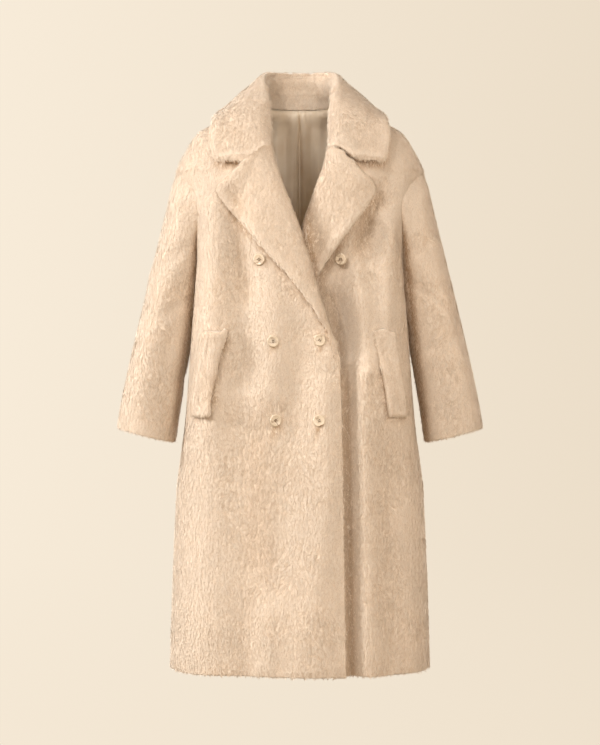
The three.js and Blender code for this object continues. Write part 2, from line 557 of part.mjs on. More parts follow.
function sleeve() {
  const around = ARM_STEPS * 2;
  const rowCount = 13;
  const hole = Array.from({ length: around }, (_, k) => armholePoint(k));
  const heart = (ring) => ring.reduce((sum, p) => sum.add(p), new THREE.Vector3()).divideScalar(around);
  const rings = [hole.map((h) => h.point)];
  for (let i = 0; i <= rowCount; i += 1) {
    const t = ((SLEEVE.length - 1) * i) / rowCount;
    const value = (column) => through(SLEEVE.map((s) => s[column]), t);
    const inside = new THREE.Vector3(value("inX"), value("y"), value("inZ"));
    const outside = new THREE.Vector3(value("outX"), value("y"), value("outZ"));
    const mid = inside.clone().add(outside).multiplyScalar(0.5);
    const reach = outside.clone().sub(inside).multiplyScalar(0.5);
    rings.push(
      hole.map(({ angle }) => {
        const s = Math.sin(angle);
        const p = mid.clone().addScaledVector(reach, power(Math.cos(angle), 0.92));
        p.y -= (s >= 0 ? value("front") : value("back")) * power(s, 0.92);
        const out = p.clone().sub(mid).normalize();
        return clearOfSide(p.addScaledVector(out, sleeveFold(angle, i / rowCount)), SLEEVE_GAP);
      }),
    );
  }
  const last = rings.length - 1;
  const inwards = (i, j) => {
    const down = rings[Math.min(i + 1, last)][j].clone().sub(rings[Math.max(i - 1, 0)][j]);
    const round = rings[i][(j + 1) % around].clone().sub(rings[i][(j + around - 1) % around]);
    const n = down.cross(round).normalize();
    return n.dot(heart(rings[i]).sub(rings[i][j])) < 0 ? n.negate() : n;
  };
  const outer = [];
  const inner = [];
  rings.slice(1).forEach((ring, k) => {
    const round = k + 1 === last ? EDGE_ROUND : 0;
    outer.push(ring.map((p, j) => p.clone().addScaledVector(inwards(k + 1, j), round)));
    inner.push(ring.map((p, j) => p.clone().addScaledVector(inwards(k + 1, j), CLOTH - round)));
  });
  // The first ring lies in the armhole, a seam's width from the panels' edges. It turns from lying in the
  // shoulder's cloth to standing on the side at the armpit.
  const centre = heart(rings[0]);
  const first = hole.map(({ point, normal, angle }) => {
    const low = ((1 - Math.cos(angle)) / 2) ** 2;
    const toCentre = centre.clone().sub(point).normalize();
    const along = toCentre.clone().addScaledVector(normal, -toCentre.dot(normal)).normalize();
    const depth = normal.clone().multiplyScalar(low - 1).addScaledVector(toCentre, low).normalize();
    return { start: point.clone().addScaledVector(along, SEAM), depth };
  });
  outer.unshift(first.map(({ start }) => start));
  inner.unshift(first.map(({ start, depth }) => start.clone().addScaledVector(depth, CLOTH)));
  return wall({ outer, inner }, true);
}

// Lapels: a sheet that starts behind the front, turns over the roll and lies on the front.
function leafRow(t, lower) {
  const value = (column) => through(LAPEL_ROWS.map((r) => r[column]), t);
  const rollZ = value("rollZ");
  const roll = rollX(rollZ);
  const gorge = 1 - smooth(0, 1.6, t);
  const end = smooth(LAPEL_ROWS.length - 5.5, LAPEL_ROWS.length - 1, t);
  const side = lower ? -1 : 1;
  const mid = { x: value(lower ? "leftMidX" : "midX"), z: value("midZ") };
  const edge = { x: value(lower ? "leftX" : "edgeX"), z: value(lower ? "leftZ" : "edgeZ") };
  return LEAF_COLUMNS.map(({ under, share, lift, half, gorgeUnder, gorgeLift }) => {
    const thin = half * mix(1, LEAF.endHalf / LEAF.half, end);
    if (share === undefined) {
      const high = lift > 0 ? mix(lift, LEAF.endLift * 0.6, end) : mix(lift, lift * 0.78, end);
      const x = roll - mix(under, gorgeUnder, gorge);
      return { point: lifted(side * x, rollZ, mix(high, gorgeLift, gorge), lower, false), half: thin };
    }
    const from = roll - SHARE_FROM;
    const bend = 4 * share * (1 - share);
    const x = mix(from, edge.x, share) + bend * (mid.x - (from + edge.x) / 2);
    const z = mix(rollZ, edge.z, share) + bend * (mid.z - (rollZ + edge.z) / 2);
    return { point: lifted(side * x, z, mix(lift, LEAF.endLift, end), lower, false), half: thin };
  });
}

function leafLayers(steps, lower) {
  const rows = steps.map((t) => leafRow(t, lower));
  const halves = rows.map((row, i) =>
    row.map(({ half }, j) => half * (i === 0 && LEAF_COLUMNS[j].share > NOTCH_SHARE ? 0.5 : 1)),
  );
  return layers(rows.map((row) => row.map(({ point }) => point)), halves);
}

const upperLapel = () => wall(leafLayers(LAPEL_STEPS, false));
const lowerLapel = () => wall(leafLayers(LOWER_LAPEL_STEPS, true));

// Collar
function liftClear(p, lift) {
  if (p.z > NECK_Z - 2) return p;
  const s = section(p.z);
  const c = power(p.x / s.half, s.power / 2);
  const q = power(-p.y / (p.y <= 0 ? s.front : s.back), s.power / 2);
  const turn = Math.atan2(q, c);
  const normal = bodyNormal(turn, p.z);
  const gap = p.clone().sub(body(turn, p.z)).dot(normal);
  return gap < lift ? p.clone().addScaledVector(normal, lift - gap) : p;
}

const FALL_SHARES = LEAF_COLUMNS.filter(({ share }) => share !== undefined).map(({ share }) => share);

function collarStation({ foot, crest, bulge, back: behind = false, edgeX, edgeZ }) {
  const [low, high, full] = [foot, crest, bulge].map((v) => new THREE.Vector3(...v));
  const edge = onBody(turnAtX(edgeX, edgeZ, !behind), edgeZ, LEAF.lift);
  const fall = new THREE.QuadraticBezierCurve3(high, full, edge);
  return [
    ...RISE_SHARES.map((t) => low.clone().lerp(high, t)),
    high,
    ...FALL_SHARES.map((t) => liftClear(fall.getPoint(t), LEAF.lift)),
  ];
}

// The collar's front end follows the gorge to the notch and turns out to its own corner.
function collarEnd(gorge) {
  const notch = gorge[LEAF_COLUMNS.findIndex(({ share }) => share === NOTCH_SHARE)];
  return gorge.map((p, j) => {
    const { share, lift } = LEAF_COLUMNS[j];
    if (share === undefined || share <= NOTCH_SHARE) return p.clone();
    const t = (share - NOTCH_SHARE) / (1 - NOTCH_SHARE);
    return lifted(mix(notch.x, COLLAR_CORNER.x, t), mix(notch.z, COLLAR_CORNER.z, t) + 1, lift);
  });
}

function collarHalf() {
  const lapel = leafLayers(LAPEL_STEPS, false);
  const gorge = leafRow(0, false).map(({ point }) => point);
  const stations = [...COLLAR.map(collarStation), collarEnd(gorge)];
  const rows = Array.from({ length: COLLAR_STEPS + 1 }, (_, k) => {
    const t = (1 - (1 - k / COLLAR_STEPS) ** 1.15) * (stations.length - 1);
    return stations[0].map((_, j) => {
      const value = (axis) => through(stations.map((row) => row[j][axis]), t);
      const p = new THREE.Vector3(value("x"), value("y"), value("z"));
      return j > 4 && k < COLLAR_STEPS ? liftClear(p, LEAF_COLUMNS[j].lift) : p;
    });
  });
  const halves = rows.map((_, k) => {
    const blend = smooth(0.7, 1, k / COLLAR_STEPS);
    return COLLAR_HALVES.map((half, j) => {
      const free = k === COLLAR_STEPS && LEAF_COLUMNS[j].share > NOTCH_SHARE ? 0.5 : 1;
      return mix(half, LEAF_COLUMNS[j].half, blend) * free;
    });
  });
  const sheet = layers(rows, halves, rows[1].map(flipX));
  // Along the gorge the collar meets the lapel face to face.
  for (const face of ["outer", "inner"]) {
    sheet[face][COLLAR_STEPS] = sheet[face][COLLAR_STEPS].map((p, j) => {
      const { share } = LEAF_COLUMNS[j];
      if (share > NOTCH_SHARE) return p;
      return lapel[face][0][j].clone().add(new THREE.Vector3(0, 0, SEAM * 1.6));
    });
  }
  return sheet;
}

// The point of the neck edge in the direction of p, at its outer face or inwards of it.
function neckPoint(p, inwards) {
  const s = section(NECK_Z);
  const size = (Math.abs(p.x) / s.half) ** s.power + (Math.abs(p.y) / s.back) ** s.power;
  const edge = new THREE.Vector3(p.x, p.y, 0).multiplyScalar(size ** (-1 / s.power));
  return edge.multiplyScalar(1 - inwards / edge.length()).setZ(NECK_Z + SEAM);
}

// The stand: the band inside the neck, from the neck seam up to the collar's foot.
function collarStand(sheet) {
  const foot = (name, k) => sheet[name][k][0];
  const ends = sheet.outer.findIndex((_, k) => Math.min(foot("outer", k).z, foot("inner", k).z) < STAND_END_Z);
  const heights = [ends - 1, ends].map((k) => Math.min(foot("outer", k).z, foot("inner", k).z));
  const share = (heights[0] - STAND_END_Z) / (heights[0] - heights[1]);
  const face = (name, inwards) =>
    Array.from({ length: ends + 1 }, (_, k) => {
      const top = k < ends ? foot(name, k).clone() : foot(name, ends - 1).clone().lerp(foot(name, ends), share);
      const low = neckPoint(top, inwards);
      top.z -= SEAM;
      return [0, 0.35, 0.7, 1].map((t) => low.clone().lerp(top, t));
    });
  const outside = foot("outer", 0).y > foot("inner", 0).y ? "outer" : "inner";
  const inside = outside === "outer" ? "inner" : "outer";
  return { outer: face(outside, 0.5), inner: face(inside, CLOTH) };
}

// The satin back lining that shows in the neck: soft folds and a centre pleat.
function lining() {
  const levels = [-30, -55, -90, -140, -200, -270, -350, LINING.bottom];
  const count = 26;
  const reach = THREE.MathUtils.degToRad(LINING.reach);
  const turns = Array.from({ length: count + 1 }, (_, j) => {
    const share = (j / count) * 2 - 1;
    return -Math.PI / 2 + reach * (0.55 * share + 0.45 * share ** 3);
  });
  const waves = (x, z) => {
    const gathers = 2.2 * Math.cos(x / 9.5) * (0.4 + 0.6 * smooth(-150, -20, z));
    const pleat = 2.5 * bell((Math.abs(x) - 12) / 7) - LINING.pleat * bell(x / 5);
    return gathers + pleat * mix(0.4, 1, smooth(-10, -160, z));
  };
  const atNeck = (turn, depth, z) => neckPoint(body(turn, NECK_Z), depth).setZ(z);
  const face = (extra) => [
    turns.map((turn) => atNeck(turn, CLOTH + 1.2 + extra, LINING.top)),
    turns.map((turn) => atNeck(turn, CLOTH + 1.6 + extra, LINING.top - 13)),
    ...levels.map((z) =>
      turns.map((turn) => onBody(turn, z, -LINING.inset - extra - waves(body(turn, z).x, z))),
    ),
  ];
  return wall({ outer: face(0), inner: face(LINING.thick) });
}

// A pocket welt on the front, along a slightly leaning line.
function welt(side) {
  const lean = Math.tan(THREE.MathUtils.degToRad(WELT.lean));
  const across = [-1, -0.86, -0.4, 0.1, 0.6, 0.9, 1];
  const along = [-1, -0.95, -0.6, -0.2, 0.2, 0.6, 0.95, 1];
  const bulge = (v) => Math.sqrt(Math.max(0, 1 - Math.abs(v) ** 8));
  const face = (top) =>
    along.map((v) =>
      across.map((u) => {
        const z = WELT.z + (v * WELT.length) / 2;
        const x = side * (WELT.x - lean * (z - WELT.z) + (u * WELT.width) / 2);
        const rise = mix(WELT.edge, WELT.thick, Math.min(bulge(u), bulge(v)));
        return lifted(x, z, top ? rise : WELT.lift, side > 0);
      }),
    );
  return wall({ outer: face(true), inner: face(false) });
}

// A sewn-through button with a rim, a dished face and four holes.
function manifoldOf(geometry) {
  const plain = geometry.index ? geometry.toNonIndexed() : geometry;
  const position = plain.getAttribute("position");
  const seen = new Map();
  const points = [];
  const corners = [];
  for (let i = 0; i < position.count; i += 1) {
    const p = [position.getX(i), position.getY(i), position.getZ(i)].map((v) => Math.round(v * 1e4) / 1e4 + 0);
    const key = p.join(",");
    if (!seen.has(key)) {
      seen.set(key, points.length / 3);
      points.push(...p);
    }
    corners.push(seen.get(key));
  }
  const faces = [];
  for (let i = 0; i < corners.length; i += 3) {
    const [a, b, c] = corners.slice(i, i + 3);
    if (a !== b && b !== c && a !== c) faces.push(a, b, c);
  }
  return new wasm.Manifold(
    new wasm.Mesh({
      numProp: 3, vertProperties: new Float32Array(points), triVerts: new Uint32Array(faces),
    }),
  );
}

function buttonGeometry() {
  const { radius: r, thick: t, dish, hole, holePitch } = BUTTON;
  const profile = [
    [0, 0], [r - 2.2, 0], [r, t * 0.5], [r - 0.9, t], [r - 2.2, t], [r - 3.6, t - dish], [0, t - dish],
  ].map(([x, y]) => new THREE.Vector2(x, y));
  let solid = manifoldOf(new THREE.LatheGeometry(profile, 16));
  for (const [sx, sz] of [[1, 1], [1, -1], [-1, 1], [-1, -1]]) {
    const drill = new THREE.CylinderGeometry(hole, hole, t * 3, 5);
    drill.translate(sx * holePitch, 0, sz * holePitch);
    solid = solid.subtract(manifoldOf(drill));
  }
  const mesh = solid.getMesh();
  const geometry = new THREE.BufferGeometry();
  geometry.setAttribute("position", new THREE.Float32BufferAttribute(mesh.vertProperties, 3));
  geometry.setIndex([...mesh.triVerts]);
  return geometry;
}

function button({ name, x, z, front }) {
  const lower = front === "lower";
  const mesh = new THREE.Mesh(buttonGeometry(), HORN);
  mesh.name = name;
  mesh.position.copy(lifted(x, z, BUTTON.lift, lower));
  mesh.quaternion.setFromUnitVectors(new THREE.Vector3(0, 1, 0), frontNormal(x, z, lower));
  return mesh;
}

// The coat
const coat = new THREE.Group();
const add = (name, geometry, material) => {
  const mesh = new THREE.Mesh(geometry, material);
  mesh.name = name;
  coat.add(mesh);
};

const sleeveLeft = sleeve();
const sleeveRight = sleeveLeft.clone().applyMatrix4(new THREE.Matrix4().makeScale(-1, 1, 1));
sleeveRight.setIndex([...sleeveRight.getIndex().array].reverse());
const half = collarHalf();

add("back", back(), FUR);
add("front_right", upperFront(), FUR);
add("front_left", lowerFront(), FUR);
add("sleeve_left", sleeveLeft, FUR);
add("sleeve_right", sleeveRight, FUR);
add("lapel_right", upperLapel(), FUR);
add("lapel_left", lowerLapel(), FUR);
add("collar", wall(bothSides(half)), FUR);
add("collar_stand", wall(bothSides(collarStand(half))), FUR);
add("pocket_welt_right", welt(-1), FUR);
add("pocket_welt_left", welt(1), FUR);
add("lining_back", lining(), SATIN);
BUTTONS.forEach((b) => coat.add(button(b)));

export default coat;
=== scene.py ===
# %% [markdown]
# # A long faux fur coat
# The real coat is a double-breasted one in cream faux fur with a short curly pile: two fronts, a back,
# dropped sleeves, a wide notched collar with its stand, lapels, two slanted pocket welts, six buttons and
# a satin lining at the back of the neck. Nobody wears it, but it keeps the wearer's hollow shape.
#
# The imported model gives every piece its size and place in metres. This script dresses it in four layers:
# the cloth of each piece, the pile that stands on the cloth, the satin and the buttons, and last the
# light and the stage. The cloth could be simulated, but the folds of thick fur are soft and few, so they
# are placed one by one, where the real ones lie.

# %% Load the frame
import math

import bmesh
import bpy
import numpy as np
from mathutils import Matrix, Vector
from mathutils.bvhtree import BVHTree
from mathutils.kdtree import KDTree


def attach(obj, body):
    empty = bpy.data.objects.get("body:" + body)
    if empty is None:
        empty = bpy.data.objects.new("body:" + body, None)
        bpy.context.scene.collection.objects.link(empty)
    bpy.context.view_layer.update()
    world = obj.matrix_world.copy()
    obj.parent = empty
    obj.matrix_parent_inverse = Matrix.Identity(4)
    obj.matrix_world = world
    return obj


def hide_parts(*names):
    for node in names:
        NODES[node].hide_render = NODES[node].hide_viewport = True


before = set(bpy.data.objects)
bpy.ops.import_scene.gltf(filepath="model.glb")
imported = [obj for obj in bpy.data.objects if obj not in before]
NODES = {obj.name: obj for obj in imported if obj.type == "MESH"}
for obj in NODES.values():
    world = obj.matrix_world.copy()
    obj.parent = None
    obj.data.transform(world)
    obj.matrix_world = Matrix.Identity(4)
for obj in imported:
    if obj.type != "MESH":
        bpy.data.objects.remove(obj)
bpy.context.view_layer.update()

# %% [markdown]
# ## The camera
# A photographed thing keeps its proportions only if the camera stands where the photographer's did. One
# pixel of the picture is 1.96 mm at the coat's middle, and the curve of the hem says that the lens was
# about 3.9 m away, level with the coat's waist. The lens length follows from those values, so it isn't
# guessed by eye.

# %% Camera
PICTURE_HIGH = 745
METRES_PER_PIXEL = 0.00196
CAMERA_AWAY = 3.9
CAMERA_HEIGHT = -0.524
SENSOR = 36

lens = bpy.data.cameras.new("camera")
lens.sensor_width = SENSOR
lens.lens = SENSOR * CAMERA_AWAY / (PICTURE_HIGH * METRES_PER_PIXEL)
camera = bpy.data.objects.new("camera", lens)
camera.location = (0, -CAMERA_AWAY, CAMERA_HEIGHT)
camera.rotation_euler = (math.radians(90), 0, 0)
bpy.context.collection.objects.link(camera)
bpy.context.scene.camera = camera
print("lens", round(lens.lens, 2), "mm")

# %% [markdown]
# ## Small helpers for node materials
# A material is a graph of nodes. Typing out every link is long, so one helper adds a node with its
# values, and another links an output to an input. Each finish below is then a short list of steps, and
# an effect that several finishes share becomes a node group with named sockets.


# %% Node helpers
def add_node(tree, kind, values=None, **settings):
    """Adds a node; settings are its own properties, values go to its input sockets."""
    node = tree.nodes.new(kind)
    for key, value in settings.items():
        setattr(node, key, value)
    for key, value in (values or {}).items():
        if isinstance(value, bpy.types.NodeSocket):
            tree.links.new(value, node.inputs[key])
        else:
            node.inputs[key].default_value = value
    return node


def mixed(tree, factor, a, b, mode="MIX"):
    """The colour output of a Mix node between two colours or sockets."""
    node = add_node(tree, "ShaderNodeMix", data_type="RGBA", blend_type=mode)
    for index, value in ((0, factor), (6, a), (7, b)):
        if isinstance(value, bpy.types.NodeSocket):
            tree.links.new(value, node.inputs[index])
        else:
            node.inputs[index].default_value = value
    return node.outputs[2]


def ranged(tree, value, low, high, to_low=0.0, to_high=1.0):
    """A value rescaled from low..high to to_low..to_high."""
    values = {"Value": value, "From Min": low, "From Max": high, "To Min": to_low, "To Max": to_high}
    return add_node(tree, "ShaderNodeMapRange", values).outputs["Result"]


def new_material(name):
    """An empty node material with its Principled shader and output."""
    material = bpy.data.materials.new(name)
    material.use_nodes = True
    material.node_tree.nodes.clear()
    shader = add_node(material.node_tree, "ShaderNodeBsdfPrincipled")
    add_node(material.node_tree, "ShaderNodeOutputMaterial", {"Surface": shader.outputs["BSDF"]})
    return material, material.node_tree, shader


def new_group(name, inputs, outputs):
    """A shader node group with named sockets: (name, socket type, default)."""
    group = bpy.data.node_groups.new(name, "ShaderNodeTree")
    for label, kind, default in inputs:
        socket = group.interface.new_socket(label, in_out="INPUT", socket_type=kind)
        socket.default_value = default
    for label, kind in outputs:
        group.interface.new_socket(label, in_out="OUTPUT", socket_type=kind)
    return group, group.nodes.new("NodeGroupInput"), group.nodes.new("NodeGroupOutput")


# %% [markdown]
# ## The colour of the fur
# The pile is cream at its tips and warmer and darker at its roots, because little light gets down there.
# Each lock has a tone of its own, and the whole coat is a little uneven. The pile and the cloth under it
# need the same recipe with other values, so it is a node group. The pile's mesh carries two attributes
# for it: how far along its strand a point is, scaled by painted shade at partings, in deep places and in
# the troughs of folds, and the tone of its lock.

# %% Fur tone group
TIP = (0.865, 0.754, 0.628, 1)
# The darker, warmer root colour is painted shade, where little light gets down.
ROOT = (0.58, 0.42, 0.28, 1)
ROOT_FADE = 0.7
LOCK_TONES = 0.87, 1.08
PATCHES_PER_METRE = 9.0
PATCH_TONES = 0.96, 1.03


def fur_tone_and_shade_group():
    """Root to tip colour, with painted shade at the darker root, a tone for each lock and slow patches over
    the coat.
    """
    group, given, made = new_group(
        "fur_tone",
        [("Along", "NodeSocketFloat", 1.0), ("Tone", "NodeSocketFloat", 0.5), ("Tip", "NodeSocketColor", TIP),
         ("Root", "NodeSocketColor", ROOT)],
        [("Color", "NodeSocketColor")],
    )
    place = add_node(group, "ShaderNodeTexCoord").outputs["Object"]
    noise = {"Vector": place, "Scale": PATCHES_PER_METRE, "Detail": 2.0}
    patches = add_node(group, "ShaderNodeTexNoise", noise)
    along = add_node(group, "ShaderNodeMath", {0: given.outputs["Along"], 1: ROOT_FADE}, operation="POWER")
    colour = mixed(group, along.outputs[0], given.outputs["Root"], given.outputs["Tip"])
    lock = ranged(group, given.outputs["Tone"], 0, 1, *LOCK_TONES)
    patch = ranged(group, patches.outputs["Fac"], 0.3, 0.7, *PATCH_TONES)
    shade = add_node(group, "ShaderNodeMath", {0: lock, 1: patch}, operation="MULTIPLY").outputs[0]
    grey = add_node(group, "ShaderNodeCombineColor", {"Red": shade, "Green": shade, "Blue": shade})
    group.links.new(mixed(group, 1.0, colour, grey.outputs[0], "MULTIPLY"), made.inputs["Color"])
    return group


FUR_TONE_AND_SHADE = fur_tone_and_shade_group()
print(FUR_TONE_AND_SHADE.name, "group of", len(FUR_TONE_AND_SHADE.nodes), "nodes")


def use_group(tree, group, **values):
    """Places a node group in a material with its own values."""
    return add_node(tree, "ShaderNodeGroup", values, node_tree=group)


# %% [markdown]
# ## The pile and its backing
# Fur is rough and soft, so it has almost no mirror shine, but it glows a little where light grazes it:
# that is what Sheen does. The strands themselves are real geometry, so the material needs no bump. The
# backing under them is a knitted ground, which only shows between the locks.

# %% Fur materials
def pile_material():
    material, tree, shader = new_material("curly_pile")
    # The along attribute carries painted shade as well as the place along the strand.
    along = add_node(tree, "ShaderNodeAttribute", attribute_name="along").outputs["Fac"]
    tone = add_node(tree, "ShaderNodeAttribute", attribute_name="tone").outputs["Fac"]
    colour = use_group(tree, FUR_TONE_AND_SHADE, Along=along, Tone=tone).outputs["Color"]
    tree.links.new(colour, shader.inputs["Base Color"])
    shader.inputs["Roughness"].default_value = 0.85
    shader.inputs["Specular IOR Level"].default_value = 0.2
    shader.inputs["Sheen Weight"].default_value = 0.6
    shader.inputs["Sheen Roughness"].default_value = 0.4
    shader.inputs["Sheen Tint"].default_value = (1, 0.93, 0.82, 1)
    return material


def backing_material():
    material, tree, shader = new_material("knit_backing")
    place = add_node(tree, "ShaderNodeTexCoord").outputs["Object"]
    loops = add_node(tree, "ShaderNodeTexVoronoi", {"Vector": place, "Scale": 420.0})
    curls = add_node(tree, "ShaderNodeTexNoise", {"Vector": place, "Scale": 160.0, "Detail": 3.0})
    # Between root and tip colour, so where the backing shows between the locks it carries part of the roots'
    # painted shade.
    along = ranged(tree, curls.outputs["Fac"], 0.35, 0.65, 0.45, 0.75)
    tone = ranged(tree, loops.outputs["Distance"], 0.0, 0.7)
    colour = use_group(tree, FUR_TONE_AND_SHADE, Along=along, Tone=tone).outputs["Color"]
    tree.links.new(colour, shader.inputs["Base Color"])
    bump = add_node(
        tree, "ShaderNodeBump", {"Height": curls.outputs["Fac"], "Strength": 0.8, "Distance": 0.002}
    )
    tree.links.new(bump.outputs["Normal"], shader.inputs["Normal"])
    shader.inputs["Roughness"].default_value = 0.95
    shader.inputs["Sheen Weight"].default_value = 0.4
    return material


CURLY_PILE = pile_material()
KNIT_BACKING = backing_material()
print(CURLY_PILE.name, "and", KNIT_BACKING.name)


# %% [markdown]
# ## Satin for the inside
# The inside is a light beige satin: smooth, with a soft wide highlight and a very fine twill. Its threads
# are far thinner than a pixel, so they are a bump from a narrow Wave texture and not geometry.

# %% Satin material
def satin_material():
    material, tree, shader = new_material("beige_satin")
    place = add_node(tree, "ShaderNodeTexCoord").outputs["Object"]
    threads = {"Vector": place, "Scale": 900.0, "Distortion": 0.4}
    twill = add_node(tree, "ShaderNodeTexWave", threads, bands_direction="DIAGONAL")
    drift = add_node(tree, "ShaderNodeTexNoise", {"Vector": place, "Scale": 25.0, "Detail": 2.0})
    tint = ranged(tree, drift.outputs["Fac"], 0.3, 0.7)
    colour = mixed(tree, tint, (0.84, 0.71, 0.55, 1), (0.94, 0.83, 0.68, 1))
    tree.links.new(colour, shader.inputs["Base Color"])
    bump = add_node(
        tree, "ShaderNodeBump", {"Height": twill.outputs["Fac"], "Strength": 0.15, "Distance": 0.0003}
    )
    tree.links.new(bump.outputs["Normal"], shader.inputs["Normal"])
    tree.links.new(ranged(tree, drift.outputs["Fac"], 0.2, 0.8, 0.32, 0.45), shader.inputs["Roughness"])
    shader.inputs["Sheen Weight"].default_value = 0.2
    return material


SATIN = satin_material()
print(SATIN.name, "of", len(SATIN.node_tree.nodes), "nodes")


# %% [markdown]
# ## Which way is out
# Every piece of cloth is a wall with two faces. On the body and the sleeves only the outer one has pile.
# On the body, out is away from an upright oval. On a sleeve, it is away from the line of the arm. Two
# helpers give that direction for many points at once. The collar, the lapels and the welts have pile all
# over, so out is simply the way that their surface faces.

# %% Outward directions
BODY_HALF = 0.24
BODY_DEPTH = 0.145
ARM_TOP = np.array([0.222, 0.005, -0.23])
ARM_END = np.array([0.3, -0.003, -0.648])


def unit(vectors):
    """Each row scaled to length one."""
    return vectors / np.maximum(np.linalg.norm(vectors, axis=1, keepdims=True), 1e-12)


def out_of_body(points):
    """Away from the body's upright oval."""
    return unit(points * np.array([1 / BODY_HALF**2, 1 / BODY_DEPTH**2, 0]))


def out_of_arm(points, side):
    """Away from the line of the arm; side is 1 for the wearer's left."""
    mirror = np.array([side, 1, 1])
    line = (ARM_END - ARM_TOP) * mirror
    line = line / np.linalg.norm(line)
    from_top = points - ARM_TOP * mirror
    return unit(from_top - np.outer(from_top @ line, line))


# %% [markdown]
# ## The cloth
# Each node of the model is a closed wall that reaches as far as the pile does. Its mesh is loose
# triangles, so a copy is merged, its triangles are joined into squares, and one level of subdivision
# rounds it. Subdivision pulls free edges in, which is right for a hem, but at a seam it would open a
# slit. So the edges that touch another piece are creased, and they stay where they are. The lower end of
# the upper lapel would stop in a step, so it is drawn down and back, and runs out into the front edge.

# %% Copies of the nodes
TOUCHING = 0.0015
LAPEL_END_X = 0.045
LAPEL_END_Z = -0.506, -0.455
RUN_OUT_FROM = -0.45
RUN_OUT_BACK = 0.0022
RUN_OUT_TIP = -0.48
RUN_OUT_SIDE_X = 0.066
RUN_OUT_SIDE = 0.0045
RUN_OUT_DEPTH = -0.1412
RUN_OUT_DOWN = 0.013


def others_tree(node):
    """A search tree of all the nodes but this one."""
    points, faces = [], []
    for name, other in NODES.items():
        if name == node:
            continue
        start = len(points)
        points.extend(v.co for v in other.data.vertices)
        faces.extend([start + i for i in p.vertices] for p in other.data.polygons)
    return BVHTree.FromPolygons(points, faces)


def at_lapel_end(node, place):
    """Whether a point is where the upper lapel runs out into the front edge, which keeps its full width."""
    low, high = LAPEL_END_Z
    return node in ("lapel_right", "front_right") and place.x > LAPEL_END_X and low < place.z < high


def run_out(place):
    """Moves a point of the upper lapel's end down and back, so the lapel and the front edge make one line."""
    if place.z < RUN_OUT_TIP:
        place.x += RUN_OUT_SIDE if place.x > RUN_OUT_SIDE_X else 0
        place.y = max(place.y, RUN_OUT_DEPTH)
        place.z -= RUN_OUT_DOWN
    elif place.z < RUN_OUT_FROM:
        place.y += RUN_OUT_BACK


def merged_copy(node, others):
    """A mesh of the node's merged triangles, as squares, with the edges along its seams creased."""
    bm = bmesh.new()
    bm.from_mesh(NODES[node].data)
    bmesh.ops.remove_doubles(bm, verts=bm.verts, dist=1e-5)
    bmesh.ops.join_triangles(bm, faces=bm.faces, angle_face_threshold=0.7, angle_shape_threshold=1.2)
    crease = bm.edges.layers.float.new("crease_edge")
    seam = {v for v in bm.verts if others.find_nearest(v.co, TOUCHING)[0] or at_lapel_end(node, v.co)}
    for edge in bm.edges:
        edge[crease] = float(edge.verts[0] in seam and edge.verts[1] in seam)
    if node == "lapel_right":
        for vert in bm.verts:
            run_out(vert.co)
    mesh = bpy.data.meshes.new("cloth_" + node)
    bm.to_mesh(mesh)
    bm.free()
    return mesh


def link(name, mesh, material):
    """A new object at the origin that rides on the coat."""
    piece = bpy.data.objects.new(name, mesh)
    mesh.materials.append(material)
    bpy.context.collection.objects.link(piece)
    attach(piece, "root")
    return piece


def baked(piece, kind, **settings):
    """The piece's mesh with one modifier applied."""
    modifier = piece.modifiers.new(kind.lower(), kind)
    for key, value in settings.items():
        setattr(modifier, key, value)
    done = bpy.data.meshes.new_from_object(piece.evaluated_get(bpy.context.evaluated_depsgraph_get()))
    piece.modifiers.clear()
    old = piece.data
    piece.data = done
    bpy.data.meshes.remove(old)
    return done


def read(mesh, what, width):
    """A numpy array of a mesh's vertex values, width numbers each."""
    values = np.empty(len(mesh.vertices) * width)
    source = mesh.vertices if what == "co" else mesh.vertex_normals
    source.foreach_get(what, values)
    return values.reshape(-1, width)


# %% [markdown]
# ## Where the pile stands, and the plump rims
# Rays answer two questions about each point of the cloth. A ray outwards that soon meets another piece
# says that the point is covered, so it needs little pile. A ray into the cloth that travels far says that
# the point is on a rim, because it runs along the sheet and not through it. The distance to the nearest
# rim then shapes the collar, the lapels and the welts: the pile turns over their edges there and makes
# them plump, while the middle lies a little lower.
#
# At a seam, the narrow end faces of a wall would turn its normals sideways and leave a dark line. So the
# normals are worked out again without the faces that lie against another piece.

# %% Rays and rims
OFF_SURFACE = 0.0002
COVERED = 0.016
SHEET = 0.021
ACROSS_SHEET = 0.2
FACE_SHARE = 0.3
INNER_TO_OUTER = -0.45, -0.05
PLUMP_NODES = ("collar", "lapel_left", "lapel_right", "pocket_welt_left", "pocket_welt_right")


def ramp(low, high, values):
    """0 up to low, 1 from high, smooth between."""
    t = np.clip((values - low) / (high - low), 0, 1)
    return t * t * (3 - 2 * t)


def room_over(points, ways, tree, reach):
    """How far from each point its ray first meets the tree, up to reach."""
    room = np.full(len(points), float(reach))
    for i, (point, way) in enumerate(zip(points, ways)):
        way = Vector(way)
        distance = tree.ray_cast(Vector(point) + way * OFF_SURFACE, way, reach)[3]
        if distance is not None:
            room[i] = distance
    return room


def outward(node, points, normals):
    """The outward direction at each point, and from 0 on the inner face of a piece to 1 on its outer face."""
    if node.startswith("sleeve"):
        out = out_of_arm(points, 1 if node.endswith("left") else -1)
    elif node in ("back", "front_left", "front_right"):
        out = out_of_body(points)
    else:
        return normals, np.ones(len(points))
    return unit(FACE_SHARE * normals + out), ramp(*INNER_TO_OUTER, (normals * out).sum(axis=1))


def upright_normals(mesh, normals, seam):
    """Vertex normals without the faces that lie against another piece, so the pile stands up at a seam."""
    total = np.zeros_like(normals)
    for face in mesh.polygons:
        if not all(seam[i] for i in face.vertices):
            total[face.vertices] += np.array(face.normal) * face.area
    lost = np.linalg.norm(total, axis=1) < 1e-9
    total[lost] = normals[lost]
    return unit(total)


